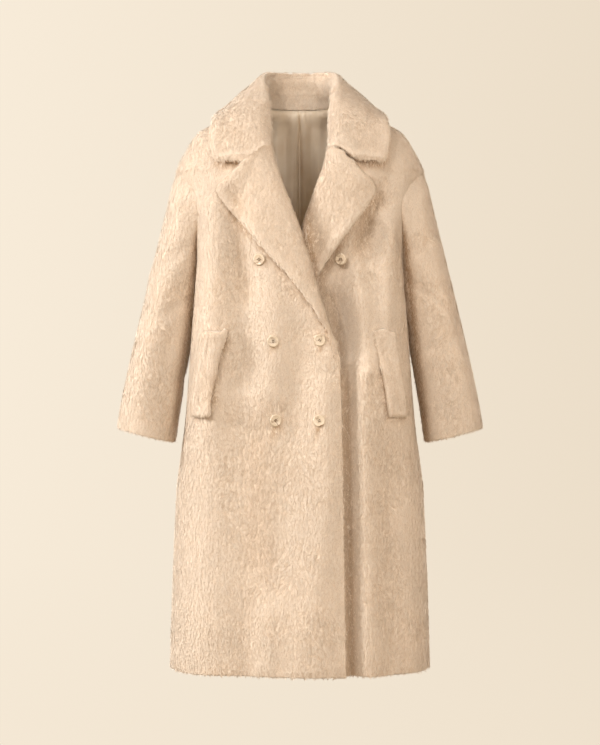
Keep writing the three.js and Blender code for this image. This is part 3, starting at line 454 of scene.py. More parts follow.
def from_rim(mesh, points, normals, seam):
    """The distance of each point from the nearest rim of the sheet."""
    own = BVHTree.FromPolygons(points.tolist(), [list(p.vertices) for p in mesh.polygons])
    on_rim = (room_over(points, -normals, own, ACROSS_SHEET) > SHEET) & ~seam
    tree = KDTree(max(1, on_rim.sum()))
    for number, point in enumerate(points[on_rim]):
        tree.insert(point, number)
    tree.balance()
    return np.array([tree.find(point)[2] or 1.0 for point in points])


# %% [markdown]
# ## Folds placed by hand
# A coat this thick falls in a few soft folds. Each one is a line between two points, with a width and a
# height: above 0 it is a ridge, below 0 a trough. On the body the two coordinates are across and up. On
# a sleeve they are the way round the arm and the way down it. They lie where the photograph shows them,
# no two alike, and the hidden sides get a set of their own. The under folds are for the wearer's left
# front alone: they press it back beside the edge and the lapel that lie over it, where the shade is
# deepest. A whole wall moves with its folds, and so do the buttons on it.

# %% Folds
FRONT_FOLDS = [
    (-0.168, -0.22, -0.170, -0.62, 0.026, 0.008), (-0.176, -0.66, -0.190, -1.05, 0.026, 0.003),
    (-0.100, -0.40, -0.092, -0.52, 0.030, -0.009), (-0.084, -0.64, -0.088, -0.90, 0.052, -0.013),
    (-0.108, -0.99, -0.104, -1.12, 0.036, -0.011), (-0.052, -0.36, -0.040, -0.50, 0.020, 0.003),
    (0.002, -0.46, -0.010, -0.64, 0.022, -0.004), (-0.028, -0.74, -0.048, -1.10, 0.024, -0.003),
    (0.048, -0.55, 0.056, -0.76, 0.020, 0.005), (0.052, -0.80, 0.018, -1.00, 0.026, 0.005),
    (-0.052, -0.98, -0.070, -1.12, 0.024, 0.004), (0.170, -0.24, 0.160, -0.42, 0.016, 0.006),
    (0.145, -0.18, 0.130, -0.30, 0.022, -0.011), (-0.130, -0.20, -0.108, -0.36, 0.024, -0.014),
    (0.119, -0.52, 0.112, -0.39, 0.024, 0.011), (0.102, -0.30, 0.112, -0.45, 0.014, 0.003),
    (0.128, -0.52, 0.127, -1.05, 0.018, 0.004), (0.184, -0.66, 0.180, -1.08, 0.020, -0.004),
]
UNDER_FOLDS = [
    (0.138, -0.24, 0.080, -0.335, 0.018, -0.012), (0.070, -0.37, 0.086, -0.48, 0.016, -0.014),
    (0.096, -0.53, 0.099, -0.78, 0.014, -0.015), (0.100, -0.81, 0.106, -1.12, 0.016, -0.017),
    (0.172, -0.15, 0.164, -0.20, 0.018, -0.010),
]
BACK_FOLDS = [
    (-0.100, -0.30, -0.132, -0.75, 0.025, -0.005), (-0.052, -0.42, -0.020, -1.08, 0.024, 0.005),
    (0.030, -0.20, 0.046, -0.60, 0.020, -0.004), (0.088, -0.36, 0.112, -1.05, 0.028, 0.006),
    (0.152, -0.50, 0.140, -1.08, 0.020, -0.005), (-0.158, -0.58, -0.172, -1.08, 0.022, 0.005),
]
ARM_FOLDS = {
    1: [(-0.045, 0.11, 0.02, 0.16, 0.010, -0.003), (0.03, 0.17, 0.09, 0.14, 0.011, 0.003),
        (-0.02, 0.25, 0.06, 0.22, 0.012, -0.003), (0.00, 0.06, 0.045, 0.02, 0.010, -0.003),
        (-0.15, 0.12, -0.07, 0.17, 0.013, 0.003), (-0.19, 0.22, -0.12, 0.19, 0.011, -0.003),
        (0.05, 0.27, 0.06, 0.40, 0.014, 0.003)],
    -1: [(-0.05, 0.14, 0.03, 0.20, 0.011, -0.003), (0.04, 0.08, 0.10, 0.12, 0.012, 0.003),
         (-0.01, 0.05, 0.03, 0.10, 0.010, -0.003), (0.00, 0.30, 0.07, 0.25, 0.012, -0.003),
         (-0.16, 0.18, -0.09, 0.14, 0.012, 0.003), (-0.18, 0.28, -0.11, 0.31, 0.012, -0.003),
         (-0.04, 0.24, -0.05, 0.38, 0.015, 0.003)],
}
ARM_ROUND = 0.075
CALM_SLEEVE_TOP = -0.02, 0.06
CALM_SIDES = 0.03, 0.09


def fold_height(across, up, table):
    """The height of all of a table's folds at each place."""
    total = np.zeros(len(across))
    for x0, z0, x1, z1, width, height in table:
        run = np.array([x1 - x0, z1 - z0])
        share = ((across - x0) * run[0] + (up - z0) * run[1]) / (run @ run)
        share = np.clip(share, 0, 1)
        away = np.hypot(across - x0 - share * run[0], up - z0 - share * run[1])
        total += height * np.exp(-((away / width) ** 2))
    return total


def folds_at(node, points):
    """How far the folds move each point of a piece, and which way."""
    if node.startswith("sleeve"):
        side = 1 if node.endswith("left") else -1
        out = out_of_arm(points, side)
        turn = np.arctan2(out[:, 0] * side, -out[:, 1])
        line = (ARM_END - ARM_TOP) / np.linalg.norm(ARM_END - ARM_TOP)
        down = (points * np.array([side, 1, 1]) - ARM_TOP) @ line
        return fold_height(turn * ARM_ROUND, down, ARM_FOLDS[side]) * ramp(*CALM_SLEEVE_TOP, down), out
    if node.startswith("collar"):
        return np.zeros(len(points)), points
    table = BACK_FOLDS if node == "back" else FRONT_FOLDS + (UNDER_FOLDS if node == "front_left" else [])
    height = fold_height(points[:, 0], points[:, 2], table)
    return height * ramp(*CALM_SIDES, np.abs(points[:, 1])), out_of_body(points)


# %% [markdown]
# ## Deep places
# Where two pieces lie close, as beside the sleeves and under the collar, light only gets at the pile
# through other pile, so it comes out browner. A few rays from each point tell how open its place is.

# %% How open a place is
OPEN_REACH = 0.08
OPEN_RAYS = 14
RAY_START = 0.005
RAY_LEAN = 1.05


def how_open(points, normals, tree):
    """The share of rays from each point, over its outer side, that meet nothing near."""
    rng = np.random.default_rng(31)
    ways = unit(rng.normal(size=(OPEN_RAYS, 3)))
    share = np.zeros(len(points))
    for i, (point, normal) in enumerate(zip(points, normals)):
        start = Vector(point + normal * RAY_START)
        for way in ways:
            way = Vector(normal * RAY_LEAN + way)
            way.normalize()
            distance = tree.ray_cast(start, way, OPEN_REACH)[3]
            share[i] += 1 if distance is None else distance / OPEN_REACH
    return share / OPEN_RAYS


EVERY_TREE = others_tree(None)

# %% [markdown]
# ## The relief of each piece
# The pile has a height of its own, so the cloth lies that much lower than the model's surface, except at
# seams. Where pieces lie close on each other it stays where it is, or light would show between them. The
# rims are raised, and each button presses a soft dimple into the fronts.

# %% Relief
PILE_HEIGHT = 0.002
CLOSE = 0.013
PLUMP = 0.0054
RIM_RISE = 0.007
RIM_FALL = 0.011, 0.034
MIDDLE_SINK = 0.001
DIMPLE = 0.003
DIMPLE_WIDTH = 0.017


def button_place(button):
    """How far across and up the middle of a packed button is."""
    def across(vertex):
        return vertex.co.x

    ends = [end(button.data.vertices, key=across).co for end in (min, max)]
    return [(ends[0].x + ends[1].x) / 2, (ends[0].z + ends[1].z) / 2]


BUTTON_PLACES = [button_place(button) for name, button in NODES.items() if name.startswith("button")]
print("dimples for", len(BUTTON_PLACES), "buttons")


def nearness(points, others):
    """The distance from each point to the nearest other piece, up to CLOSE."""
    found = [others.find_nearest(point, CLOSE)[3] for point in points]
    return np.array([CLOSE if distance is None else distance for distance in found])


def relief(node, points, near, covered, outside, rim):
    """How far each point is raised or lowered before the folds."""
    seam = near < TOUCHING
    lapel_end = np.array([at_lapel_end(node, Vector(point)) for point in points])
    height = -PILE_HEIGHT * outside * (~seam & ~lapel_end) * ramp(TOUCHING, CLOSE, near)
    if node in PLUMP_NODES:
        plump = PLUMP * ramp(0, RIM_RISE, rim) * (1 - ramp(*RIM_FALL, rim)) - MIDDLE_SINK
        height += plump * ~seam * ~covered
    if node.startswith("front"):
        for x, z in BUTTON_PLACES:
            away = (points[:, 0] - x) ** 2 + (points[:, 2] - z) ** 2
            height -= DIMPLE * np.exp(-away / DIMPLE_WIDTH**2) * outside
    return height


# %% Cloth pieces
COVERED_PILE = 0.15
FOLD_SHADE = 0.6
FOLD_DEPTHS = 0.003, 0.018
cloth = {}


def set_attribute(mesh, name, values):
    mesh.attributes.new(name, "FLOAT", "POINT").data.foreach_set("value", values)


def line_with_satin(mesh, outside):
    """Gives the inner faces of a wall the satin."""
    mesh.materials.append(SATIN)
    inner = [sum(outside[i] for i in p.vertices) < 0.5 for p in mesh.polygons]
    mesh.polygons.foreach_set("material_index", np.array(inner, dtype=np.int32))


def make_cloth(node):
    """The cloth of one node, with what the pile needs to know about each point as attributes."""
    others = others_tree(node)
    piece = link("cloth_" + node, merged_copy(node, others), KNIT_BACKING)
    mesh = baked(piece, "SUBSURF", levels=1, render_levels=1)
    points, normals = read(mesh, "co", 3), read(mesh, "vector", 3)
    out, outside = outward(node, points, normals)
    near = nearness(points, others)
    seam = near < TOUCHING
    rim = from_rim(mesh, points, normals, seam)
    normals = upright_normals(mesh, normals, seam)
    covered = room_over(points, out, others, COVERED) < COVERED
    height = relief(node, points, near, covered, outside, rim)
    fold, way = folds_at(node, points)
    moved = points + normals * height[:, None] + way * fold[:, None]
    mesh.vertices.foreach_set("co", moved.ravel())
    # Painted shade: the share of open rays, lowered in deep fold troughs, later darkens the pile's colour.
    open_and_fold_shade = how_open(points, normals, EVERY_TREE) * (1 - FOLD_SHADE * ramp(*FOLD_DEPTHS, -fold))
    set_attribute(mesh, "pile", outside * np.where(covered, COVERED_PILE, 1.0))
    set_attribute(mesh, "rim", rim)
    set_attribute(mesh, "seam", seam.astype(float))
    set_attribute(mesh, "fold", fold)
    set_attribute(mesh, "open", open_and_fold_shade)
    mesh.shade_smooth()
    line_with_satin(mesh, outside)
    mesh.update()
    mesh.normals_split_custom_set_from_vertices(upright_normals(mesh, read(mesh, "vector", 3), seam))
    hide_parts(node)
    cloth[node] = piece
    return piece


FUR_NODES = [n for n in NODES if not n.startswith(("button", "lining"))]
for node in FUR_NODES:
    made = make_cloth(node)
    print(made.name, len(made.data.polygons), "faces")

# %% [markdown]
# ## The pile
# This is what makes the coat: a short dense pile, combed down, that parts into small locks with thin
# dark lines between them. In some places the partings are crisp, in others the pile closes and looks
# almost smooth. Blender's hair system could grow it, but hair has no mesh of its own, and instanced tufts
# all bend alike. Here each strand is a narrow kite of two triangles, and arrays place all of a piece's
# strands at once. A strand starts on the cloth, leans with the nap, turns with slow waves that its
# neighbours share, and bends a little to the middle of its lock, which opens the parting.

# %% Scattering
STRANDS_PER_M2 = 190000


def waves(points, shortest, longest, seed, count=10):
    """A smooth random value, about -1 to 1, from waves of mixed lengths and directions."""
    rng = np.random.default_rng(seed)
    total = np.zeros(len(points))
    for _ in range(count):
        way = rng.normal(size=3)
        way *= 2 * math.pi / (rng.uniform(shortest, longest) * np.linalg.norm(way))
        total += np.sin(points @ way + rng.uniform(0, 2 * math.pi))
    return total / math.sqrt(count / 2)


def attribute(mesh, name):
    values = np.empty(len(mesh.vertices))
    mesh.attributes[name].data.foreach_get("value", values)
    return values


def scatter(mesh, per_m2, rng, keep):
    """Even random points on a mesh, more where its pile attribute is high, with normals and attributes."""
    mesh.calc_loop_triangles()
    corners = np.empty(len(mesh.loop_triangles) * 3, dtype=np.int32)
    mesh.loop_triangles.foreach_get("vertices", corners)
    corners = corners.reshape(-1, 3)
    points, seam = read(mesh, "co", 3), attribute(mesh, "seam") > 0.5
    normals = upright_normals(mesh, read(mesh, "vector", 3), seam)
    share = attribute(mesh, "pile")
    a, b, c = (points[corners[:, k]] for k in range(3))
    weight = np.linalg.norm(np.cross(b - a, c - a), axis=1) / 2 * share[corners].mean(axis=1)
    weight = weight * keep((a + b + c) / 3) * ~seam[corners].all(axis=1)
    running = np.cumsum(weight)
    count = int(running[-1] * per_m2)
    at = (np.arange(count) + rng.random(count)) * running[-1] / count
    chosen = corners[np.searchsorted(running, at)]
    u, v = np.sqrt(rng.random(count)), rng.random(count)
    shares = np.stack([1 - u, u * (1 - v), u * v], axis=1)
    placed = (points[chosen] * shares[:, :, None]).sum(axis=1)
    upright = unit((normals[chosen] * shares[:, :, None]).sum(axis=1))
    extra = {name: (attribute(mesh, name)[chosen] * shares).sum(axis=1) for name in ("rim", "fold", "open")}
    return placed, upright, extra


# %% [markdown]
# ### Locks
# Neighbouring hairs cling to each other, so the pile shows locks rather than hairs. Each strand belongs to
# the nearest of many lock middles, which lie one to a small cell, longer than it is wide because the nap
# hangs down. How near a strand is to the next lock says whether it stands at a parting.

# %% Locks
LOCK = 0.0064
LOCK_STRETCH = 0.4
PARTING = 0.0009


def locks_of(points):
    """For each point the middle and the number of its lock, and 0 at the lock's border to 1 inside."""
    drawn = points * np.array([1, 1, LOCK_STRETCH])
    cells = np.unique(((drawn - drawn.min(axis=0)) / LOCK).astype(int), axis=0, return_index=True)[1]
    tree = KDTree(len(cells))
    for number, index in enumerate(cells):
        tree.insert(drawn[index], number)
    tree.balance()
    found = [tree.find_n(point, 2) for point in drawn]
    number = np.array([near[0][1] for near in found])
    border = np.array([near[1][2] - near[0][2] for near in found]) / 2
    return points[cells][number], number, len(cells), ramp(0, PARTING, border)


# %% [markdown]
# ### The shape of a strand
# A strand rises a little, runs along the nap and thins out. Its own size, turn and twist are random, and
# at a rim it is shorter. Crisp pile is pulled more to the middle of its lock. A flat kite would glitter,
# so its normals are soft: mostly those of the cloth, bent a little by the kite and by the lock's round
# form. Strands at partings and in deep places get painted shade: their colour is made darker, at the
# partings more so where the pile is crisp.

# %% Strands
NAP = np.array([0.0, 0.0, -1.0])
SWIRL_SIZES = 0.025, 0.07
SWIRL = 0.12, 0.3
OWN_TURN = 0.24
OWN_SIZE = 0.13
RIM_SIZE = 0.55
RIM_WIDTH = 0.012
PULL = 0.1, 0.35
PULL_ALONG = 0.8
RISE = 0.0031
RISE_BEND = 0.55
RUN = 0.0074
RUN_CURVE = 1.25
MIDDLE = 0.45
BEND_MIDDLE = 0.0005
BEND_TIP = 0.0009
TWIST = 0.12
HALF_WIDTH = 0.0008
SOFT_KITE = 0.2
SOFT_LOCK = 0.1, 0.36
PARTING_SHADE = 0.95
OWN_LIGHT = 0.05
LOCK_TONE = 0.5
HAIR_TONE = 0.4
OPEN_TO_LIGHT = 0.1, 0.97


def turned(vectors, axes, angles):
    """Each vector turned about its unit axis, to which it is square."""
    return vectors * np.cos(angles)[:, None] + np.cross(axes, vectors) * np.sin(angles)[:, None]


def strands(points, normals, crisp, extra, rng):
    """Each strand's four corners, its painted light and shade, its lock's tone and its soft normals."""
    count = len(points)
    down = unit(NAP - normals * (normals @ NAP)[:, None] + 1e-6)
    swirl = waves(points, *SWIRL_SIZES, 7) * (SWIRL[0] + SWIRL[1] * crisp) + rng.normal(0, OWN_TURN, count)
    combed = turned(down, normals, swirl)
    centres, number, locks, inside = locks_of(points)
    toward = centres - points
    toward -= normals * (toward * normals).sum(axis=1)[:, None]
    toward -= PULL_ALONG * combed * (toward * combed).sum(axis=1)[:, None]
    size = rng.normal(1, OWN_SIZE, count).clip(0.6, 1.4) * (0.92 + 0.16 * rng.random(locks)[number])
    size *= RIM_SIZE + (1 - RIM_SIZE) * ramp(0, RIM_WIDTH, extra["rim"])
    side = np.cross(normals, combed)
    pull = PULL[0] + PULL[1] * crisp

    def along(s):
        rise = RISE * size * s * (1 - RISE_BEND * s)
        run = RUN * size * s**RUN_CURVE
        return points + normals * rise[:, None] + combed * run[:, None] + toward * (pull * s)[:, None]

    root, middle, tip = along(0), along(MIDDLE), along(1)
    middle += side * rng.normal(0, BEND_MIDDLE, count)[:, None]
    tip += side * rng.normal(0, BEND_TIP, count)[:, None]
    twist = rng.normal(0, TWIST, count)
    across = unit(np.cross(tip - root, normals))
    across = across * np.cos(twist)[:, None] + normals * np.sin(twist)[:, None]
    half = across * (HALF_WIDTH * size)[:, None]
    corners = np.stack([root, middle - half, middle + half, tip], axis=1)
    facing = unit(np.cross(across, tip - root))
    round_lock = SOFT_LOCK[0] + SOFT_LOCK[1] * crisp
    soft = unit(normals + SOFT_KITE * facing - toward / LOCK * round_lock[:, None])
    # Painted shade: darker at partings, more so where the pile is crisp, and darker where few rays get out.
    parted = 1 - PARTING_SHADE * (1 - inside) * crisp + rng.normal(0, OWN_LIGHT, count)
    light = np.clip(parted, 0, 1) * ramp(*OPEN_TO_LIGHT, extra["open"])
    tone = LOCK_TONE * rng.random(locks)[number] + HAIR_TONE * rng.random(count)
    tone = 0.5 + (tone - (LOCK_TONE + HAIR_TONE) / 2) * (0.5 + crisp)
    return corners, light, tone, np.repeat(soft[:, None, :], 4, axis=1)


# %% [markdown]
# ### From arrays to a mesh
# Four corners make the two triangles of a kite. All the kites of a piece are one joined mesh, which
# Blender fills from flat arrays in one go. It gets the two colour attributes, the first with the painted
# shade of each strand already in it, and a map that gives each strand a small field of its own, so its
# colours can be baked.

# %% Pile meshes
KITE = np.array([0, 2, 1, 1, 2, 3])
KITE_ALONG = np.array([0.25, 0.8, 0.8, 1.0])
KITE_PLACE = np.array([[0.5, 0.0], [0.0, 0.45], [1.0, 0.45], [0.5, 1.0]])


def pile_mesh(name, corners, light, tone, normals):
    """One mesh of all the kites, with its attributes and its map."""
    count = len(corners)
    mesh = bpy.data.meshes.new(name)
    mesh.vertices.add(count * 4)
    mesh.vertices.foreach_set("co", corners.ravel())
    mesh.loops.add(count * 6)
    vertex = (np.arange(count)[:, None] * 4 + KITE).astype(np.int32)
    mesh.loops.foreach_set("vertex_index", vertex.ravel())
    mesh.polygons.add(count * 2)
    mesh.polygons.foreach_set("loop_start", np.arange(0, count * 6, 3, dtype=np.int32))
    # Painted shade: the share along each kite is scaled by the strand's light, so the pile is darker at
    # partings, in deep places and in fold troughs.
    painted_light_along = light[:, None] * KITE_ALONG
    set_attribute(mesh, "along", painted_light_along.ravel())
    set_attribute(mesh, "tone", np.repeat(tone, 4))
    across = math.ceil(math.sqrt(count))
    cell = np.stack([np.arange(count) % across, np.arange(count) // across], axis=1)[:, None, :]
    places = (cell + 0.1 + 0.8 * KITE_PLACE[KITE][None, :, :]) / across
    mesh.uv_layers.new(name="OFBake").uv.foreach_set("vector", places.ravel())
    mesh.update()
    mesh.shade_smooth()
    mesh.normals_split_custom_set_from_vertices(normals.reshape(-1, 3))
    return mesh


# %% [markdown]
# ### Crisp and closed places
# The pile is crisp in slow patches and in the troughs of folds, and closed on ridges and on the wearer's
# right side, which the strongest lamps light. Crisp pile has darker partings, so this puts painted shade
# in the troughs and keeps the lit side and the ridges lighter. On the collar, the lapels and the welts the
# middle is crisp and darker with painted shade, and the rim is smooth and bright with painted light.

# %% Pile of each piece
PATCH_SIZES = 0.08, 0.22
PATCH_EDGE = -1.0, 1.2
FOLD_CLOSED = 0.007
CRISP = 0.08, 0.56
RIGHT_SIDE = -0.9, 0.1
RIGHT_CRISP = 0.4
COLLAR_CRISP = 1.1
COLLAR_LEAST = 0.35
RIM_SMOOTH = 0.012, 0.028
RIM_LIGHT = 1.06
RIM_BRIGHT = 0.01, 0.026
MIDDLE_SHADE = 0.34
pile = {}


def crispness(node, points, normals, extra):
    """How sharply the pile parts at each point, from about 0 where it is closed."""
    # Crisper pile gets darker partings: painted shade in fold troughs, and less of it on the wearer's right
    # side, which faces the lamps.
    patches = waves(points, *PATCH_SIZES, 5) - extra["fold"] / FOLD_CLOSED
    crisp = CRISP[0] + CRISP[1] * ramp(*PATCH_EDGE, patches)
    crisp *= RIGHT_CRISP + (1 - RIGHT_CRISP) * ramp(*RIGHT_SIDE, normals[:, 0])
    if node in PLUMP_NODES:
        crisp = COLLAR_CRISP * np.maximum(crisp, COLLAR_LEAST) * ramp(*RIM_SMOOTH, extra["rim"])
    return crisp


def everywhere(points):
    return np.ones(len(points))


def make_pile(node, seed, part="", keep=everywhere):
    """The pile of one piece of cloth, or of the part of it that keep chooses."""
    rng = np.random.default_rng(seed)
    points, normals, extra = scatter(cloth[node].data, STRANDS_PER_M2, rng, keep)
    crisp = crispness(node, points, normals, extra)
    # Painted light and shade on the collar, the lapels and the welts: a little lighter all over and darker in
    # the middle, away from the rim.
    if node in PLUMP_NODES:
        extra["open"] = extra["open"] * RIM_LIGHT - MIDDLE_SHADE * ramp(*RIM_BRIGHT, extra["rim"])
    name = "pile_" + node + part
    piece = link(name, pile_mesh(name, *strands(points, normals, crisp, extra, rng)), CURLY_PILE)
    pile.setdefault(node, []).append(piece)
    print(name, len(points), "strands")


BACK_SPLIT_Z = -0.52
for seed, node in enumerate(FUR_NODES):
    if node == "back":
        make_pile(node, 101, "_upper", lambda points: points[:, 2] > BACK_SPLIT_Z)
        make_pile(node, 102, "_lower", lambda points: points[:, 2] <= BACK_SPLIT_Z)
    else:
        make_pile(node, seed)

# %% [markdown]
# ## The lining
# Only the back of the lining shows, through the neck: satin with a deep pleat down its middle and soft
# gathers beside it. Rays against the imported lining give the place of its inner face, and a grid with fine
# columns at the pleat is laid on that face. The pleat and the gathers are folds from a table, as on the
# outside, here towards the neck if above 0.

# %% Lining
LINING_TOP = -0.0012
LINING_LOW = -0.4295
LINING_ROWS = 56
PLEAT_HALF = 0.012
PLEAT_STEP = 0.0008
SIDE_COLUMNS = 26
LINING_SETBACK = 0.0008
GATHERED_BELOW = 0.012
LINING_FOLDS = [
    (-0.0012, -0.012, 0.0008, -0.43, 0.0024, -0.0085), (-0.0066, 0.0, -0.0074, -0.43, 0.0042, 0.0030),
    (0.0068, 0.0, 0.0080, -0.43, 0.0050, 0.0046), (-0.0165, -0.02, -0.0150, -0.36, 0.0056, 0.0050),
    (0.0140, -0.03, 0.0150, -0.34, 0.0050, 0.0044), (-0.0460, -0.01, -0.0500, -0.43, 0.0090, 0.0074),
    (0.0380, -0.01, 0.0400, -0.43, 0.0080, 0.0086), (0.0560, 0.0, 0.0640, -0.40, 0.0070, 0.0034),
]


def lining_points():
    """The middle surface of the lining in rows from its bottom to its top."""
    mesh = NODES["lining_back"].data
    tree = BVHTree.FromPolygons([v.co for v in mesh.vertices], [list(p.vertices) for p in mesh.polygons])

    def inner_face(x, z):
        return tree.ray_cast(Vector((x, -0.03, z)), Vector((0, 1, 0)), 0.4)[0]

    fine = np.arange(-PLEAT_HALF, PLEAT_HALF + 0.0001, PLEAT_STEP)
    rows = []
    for z in np.linspace(LINING_TOP, LINING_LOW, LINING_ROWS)[::-1]:
        reach = max(x for x in np.arange(0.02, 0.2, 0.001) if inner_face(x, z) and inner_face(-x, z))
        wide = np.linspace(PLEAT_HALF, reach, SIDE_COLUMNS)[1:]
        rows.append([list(inner_face(x, z)) for x in np.concatenate([-wide[::-1], fine, wide])])
    points = np.array(rows)
    flat = points.reshape(-1, 3)
    height = fold_height(flat[:, 0], flat[:, 2], LINING_FOLDS)
    flat[:, 1] += LINING_SETBACK - height * ramp(0.0, GATHERED_BELOW, LINING_TOP - flat[:, 2] + 0.002)
    return points


def make_lining():
    points = lining_points()
    high, wide = points.shape[:2]
    bm = bmesh.new()
    bmesh.ops.create_grid(bm, x_segments=wide - 1, y_segments=high - 1, size=1)
    for vert, point in zip(bm.verts, points.reshape(-1, 3), strict=True):
        vert.co = point
    mesh = bpy.data.meshes.new("lining")
    bm.to_mesh(mesh)
    bm.free()
    piece = link("lining", mesh, SATIN)
    baked(piece, "SOLIDIFY", thickness=0.0014, offset=0.0).shade_smooth()
    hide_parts("lining_back")
    print("lining", len(piece.data.polygons), "faces")
    return piece


lining_piece = make_lining()

# %% [markdown]
# ## Horn and thread
# The buttons are pale horn with brown clouds, polished, so they have the sharpest highlights of the coat.
# They are sewn on with a brown thread.

# %% Horn and thread materials
def horn_material():
    material, tree, shader = new_material("pale_horn")
    place = add_node(tree, "ShaderNodeTexCoord").outputs["Object"]
    clouds = add_node(
        tree, "ShaderNodeTexNoise", {"Vector": place, "Scale": 75.0, "Detail": 3.0, "Distortion": 1.2}
    )
    brown = ranged(tree, clouds.outputs["Fac"], 0.54, 0.7)
    colour = mixed(tree, brown, (0.72, 0.6, 0.45, 1), (0.3, 0.19, 0.11, 1))
    tree.links.new(colour, shader.inputs["Base Color"])
    tree.links.new(ranged(tree, clouds.outputs["Fac"], 0.3, 0.7, 0.26, 0.38), shader.inputs["Roughness"])
    shader.inputs["Coat Weight"].default_value = 0.25
    return material


def thread_material():
    material, tree, shader = new_material("brown_thread")
    place = add_node(tree, "ShaderNodeTexCoord").outputs["Object"]
    ply = add_node(tree, "ShaderNodeTexWave", {"Vector": place, "Scale": 1400.0}, bands_direction="DIAGONAL")
    colour = mixed(tree, ply.outputs["Fac"], (0.16, 0.1, 0.055, 1), (0.28, 0.19, 0.11, 1))
    tree.links.new(colour, shader.inputs["Base Color"])
    shader.inputs["Roughness"].default_value = 0.8
    return material


HORN = horn_material()
THREAD = thread_material()
print(HORN.name, "and", THREAD.name)

# %% [markdown]
# ## The buttons
# One button is spun from its profile: a flat back, a rounded rim and a shallow dish. A Boolean cuts its
# four holes. Each real button gets its own copy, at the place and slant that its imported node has, turned
# a little differently. Thread runs through the holes in two bars and makes a short neck behind.

# %% Buttons
PROFILE = [
    (0.0, 0.0), (0.0098, 0.0), (0.0110, 0.0006), (0.01145, 0.0015), (0.0113, 0.0026), (0.0106, 0.0034),
    (0.0097, 0.0037), (0.0088, 0.0036), (0.0077, 0.0032), (0.0064, 0.0030), (0.0, 0.0029),
]
HOLE = 0.00115
HOLE_OUT = 0.0024
HALF_THICK = 0.0022
BUTTON_SINK = 0.0034
THREAD_THICK = 0.0003
THREAD_SHIFT = 0.00035
NECK_THICK = 0.002


def tube(bm, path, radius, sides=8):
    """A closed tube along a path of points, bridged from ring to ring."""
    rings = []
    for i, point in enumerate(path):
        way = (path[min(i + 1, len(path) - 1)] - path[max(i - 1, 0)]).normalized()
        turn = way.to_track_quat("Z", "Y").to_matrix().to_4x4() @ Matrix.Rotation(math.radians(-90), 4, "Z")
        place = Matrix.Translation(point) @ turn
        ring = bmesh.ops.create_circle(bm, segments=sides, radius=radius, matrix=place)["verts"]
        rings.append(list(dict.fromkeys(edge for vert in ring for edge in vert.link_edges)))
    for low, high in zip(rings, rings[1:]):
        bmesh.ops.bridge_loops(bm, edges=low + high)
    for end in (rings[0], rings[-1]):
        bmesh.ops.edgeloop_fill(bm, edges=end)


def button_mesh():
    """One button about the origin, its face towards +Z, with its four holes cut."""
    bm = bmesh.new()
    profile = [bm.verts.new((x, 0, z)) for x, z in PROFILE]
    edges = [bm.edges.new(pair) for pair in zip(profile, profile[1:])]
    bmesh.ops.spin(bm, geom=profile + edges, cent=(0, 0, 0), axis=(0, 0, 1), angle=2 * math.pi, steps=40,
                   use_merge=True)
    bmesh.ops.remove_doubles(bm, verts=bm.verts, dist=1e-6)
    bmesh.ops.recalc_face_normals(bm, faces=bm.faces)
    disc = bpy.data.meshes.new("button_disc")
    bm.to_mesh(disc)
    bm.free()
    bm = bmesh.new()
    for k in range(4):
        angle = math.pi * (0.25 + k / 2)
        foot = Vector((math.cos(angle), math.sin(angle), 0)) * HOLE_OUT
        tube(bm, [foot + Vector((0, 0, -0.002)), foot + Vector((0, 0, 0.007))], HOLE, 14)
    bmesh.ops.recalc_face_normals(bm, faces=bm.faces)
    holes = bpy.data.meshes.new("button_holes")
    bm.to_mesh(holes)
    bm.free()
    body = bpy.data.objects.new("button_disc", disc)
    cutter = bpy.data.objects.new("button_holes", holes)
    for item in (body, cutter):
        bpy.context.collection.objects.link(item)
    mesh = baked(body, "BOOLEAN", operation="DIFFERENCE", solver="EXACT", object=cutter)
    bpy.data.objects.remove(cutter)
    bpy.data.objects.remove(body)
    mesh.shade_smooth()
    mesh.set_sharp_from_angle(angle=math.radians(50))
    return mesh


def thread_mesh():
    """Two bars through the holes and the neck of thread behind the button."""
    bm = bmesh.new()
    for side in (-1, 1):
        y = side * HOLE_OUT * math.sin(math.pi / 4)
        x = HOLE_OUT * math.cos(math.pi / 4)
        for shift in (-THREAD_SHIFT, THREAD_SHIFT):
            path = [Vector((-x, y + shift, -0.001)), Vector((-x, y + shift, 0.0028)),
                    Vector((-0.5 * x, y + shift, 0.0036)), Vector((0.5 * x, y + shift, 0.0036)),
                    Vector((x, y + shift, 0.0028)), Vector((x, y + shift, -0.001))]
            tube(bm, path, THREAD_THICK)
    neck = [Vector((0, 0, 0.0002)), Vector((0.0002, 0, -0.003)), Vector((0, 0.0001, -0.0075))]
    tube(bm, neck, NECK_THICK, 12)
    bmesh.ops.recalc_face_normals(bm, faces=bm.faces)
    mesh = bpy.data.meshes.new("button_thread")
    bm.to_mesh(mesh)
    bm.free()
    mesh.shade_smooth()
    return mesh


def button_frame(node):
    """Where a packed button's back is, and the slant of its face, as a matrix."""
    points = np.array([list(v.co) for v in NODES[node].data.vertices])
    centre = (points.min(axis=0) + points.max(axis=0)) / 2
    axis = np.linalg.svd(points - points.mean(axis=0))[2][2]
    axis = axis * (-1 if axis[1] > 0 else 1)
    height, out = folds_at("front", centre[None, :])
    back = centre + out[0] * height[0] - axis * (HALF_THICK + BUTTON_SINK)
    turn = Vector(axis).to_track_quat("Z", "Y").to_matrix().to_4x4()
    return Matrix.Translation(Vector(back)) @ turn


button_pattern, thread_pattern = button_mesh(), thread_mesh()
for number, node in enumerate(sorted(n for n in NODES if n.startswith("button"))):
    place = button_frame(node) @ Matrix.Rotation(math.radians(17 + 41 * number), 4, "Z")
    for part, pattern, material in (("_horn", button_pattern, HORN), ("_thread", thread_pattern, THREAD)):
        mesh = pattern.copy()
        mesh.transform(place)
        piece = link(node + part, mesh, material)
        if material == HORN:
            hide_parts(node)
print("buttons of", len(button_pattern.polygons), "faces")
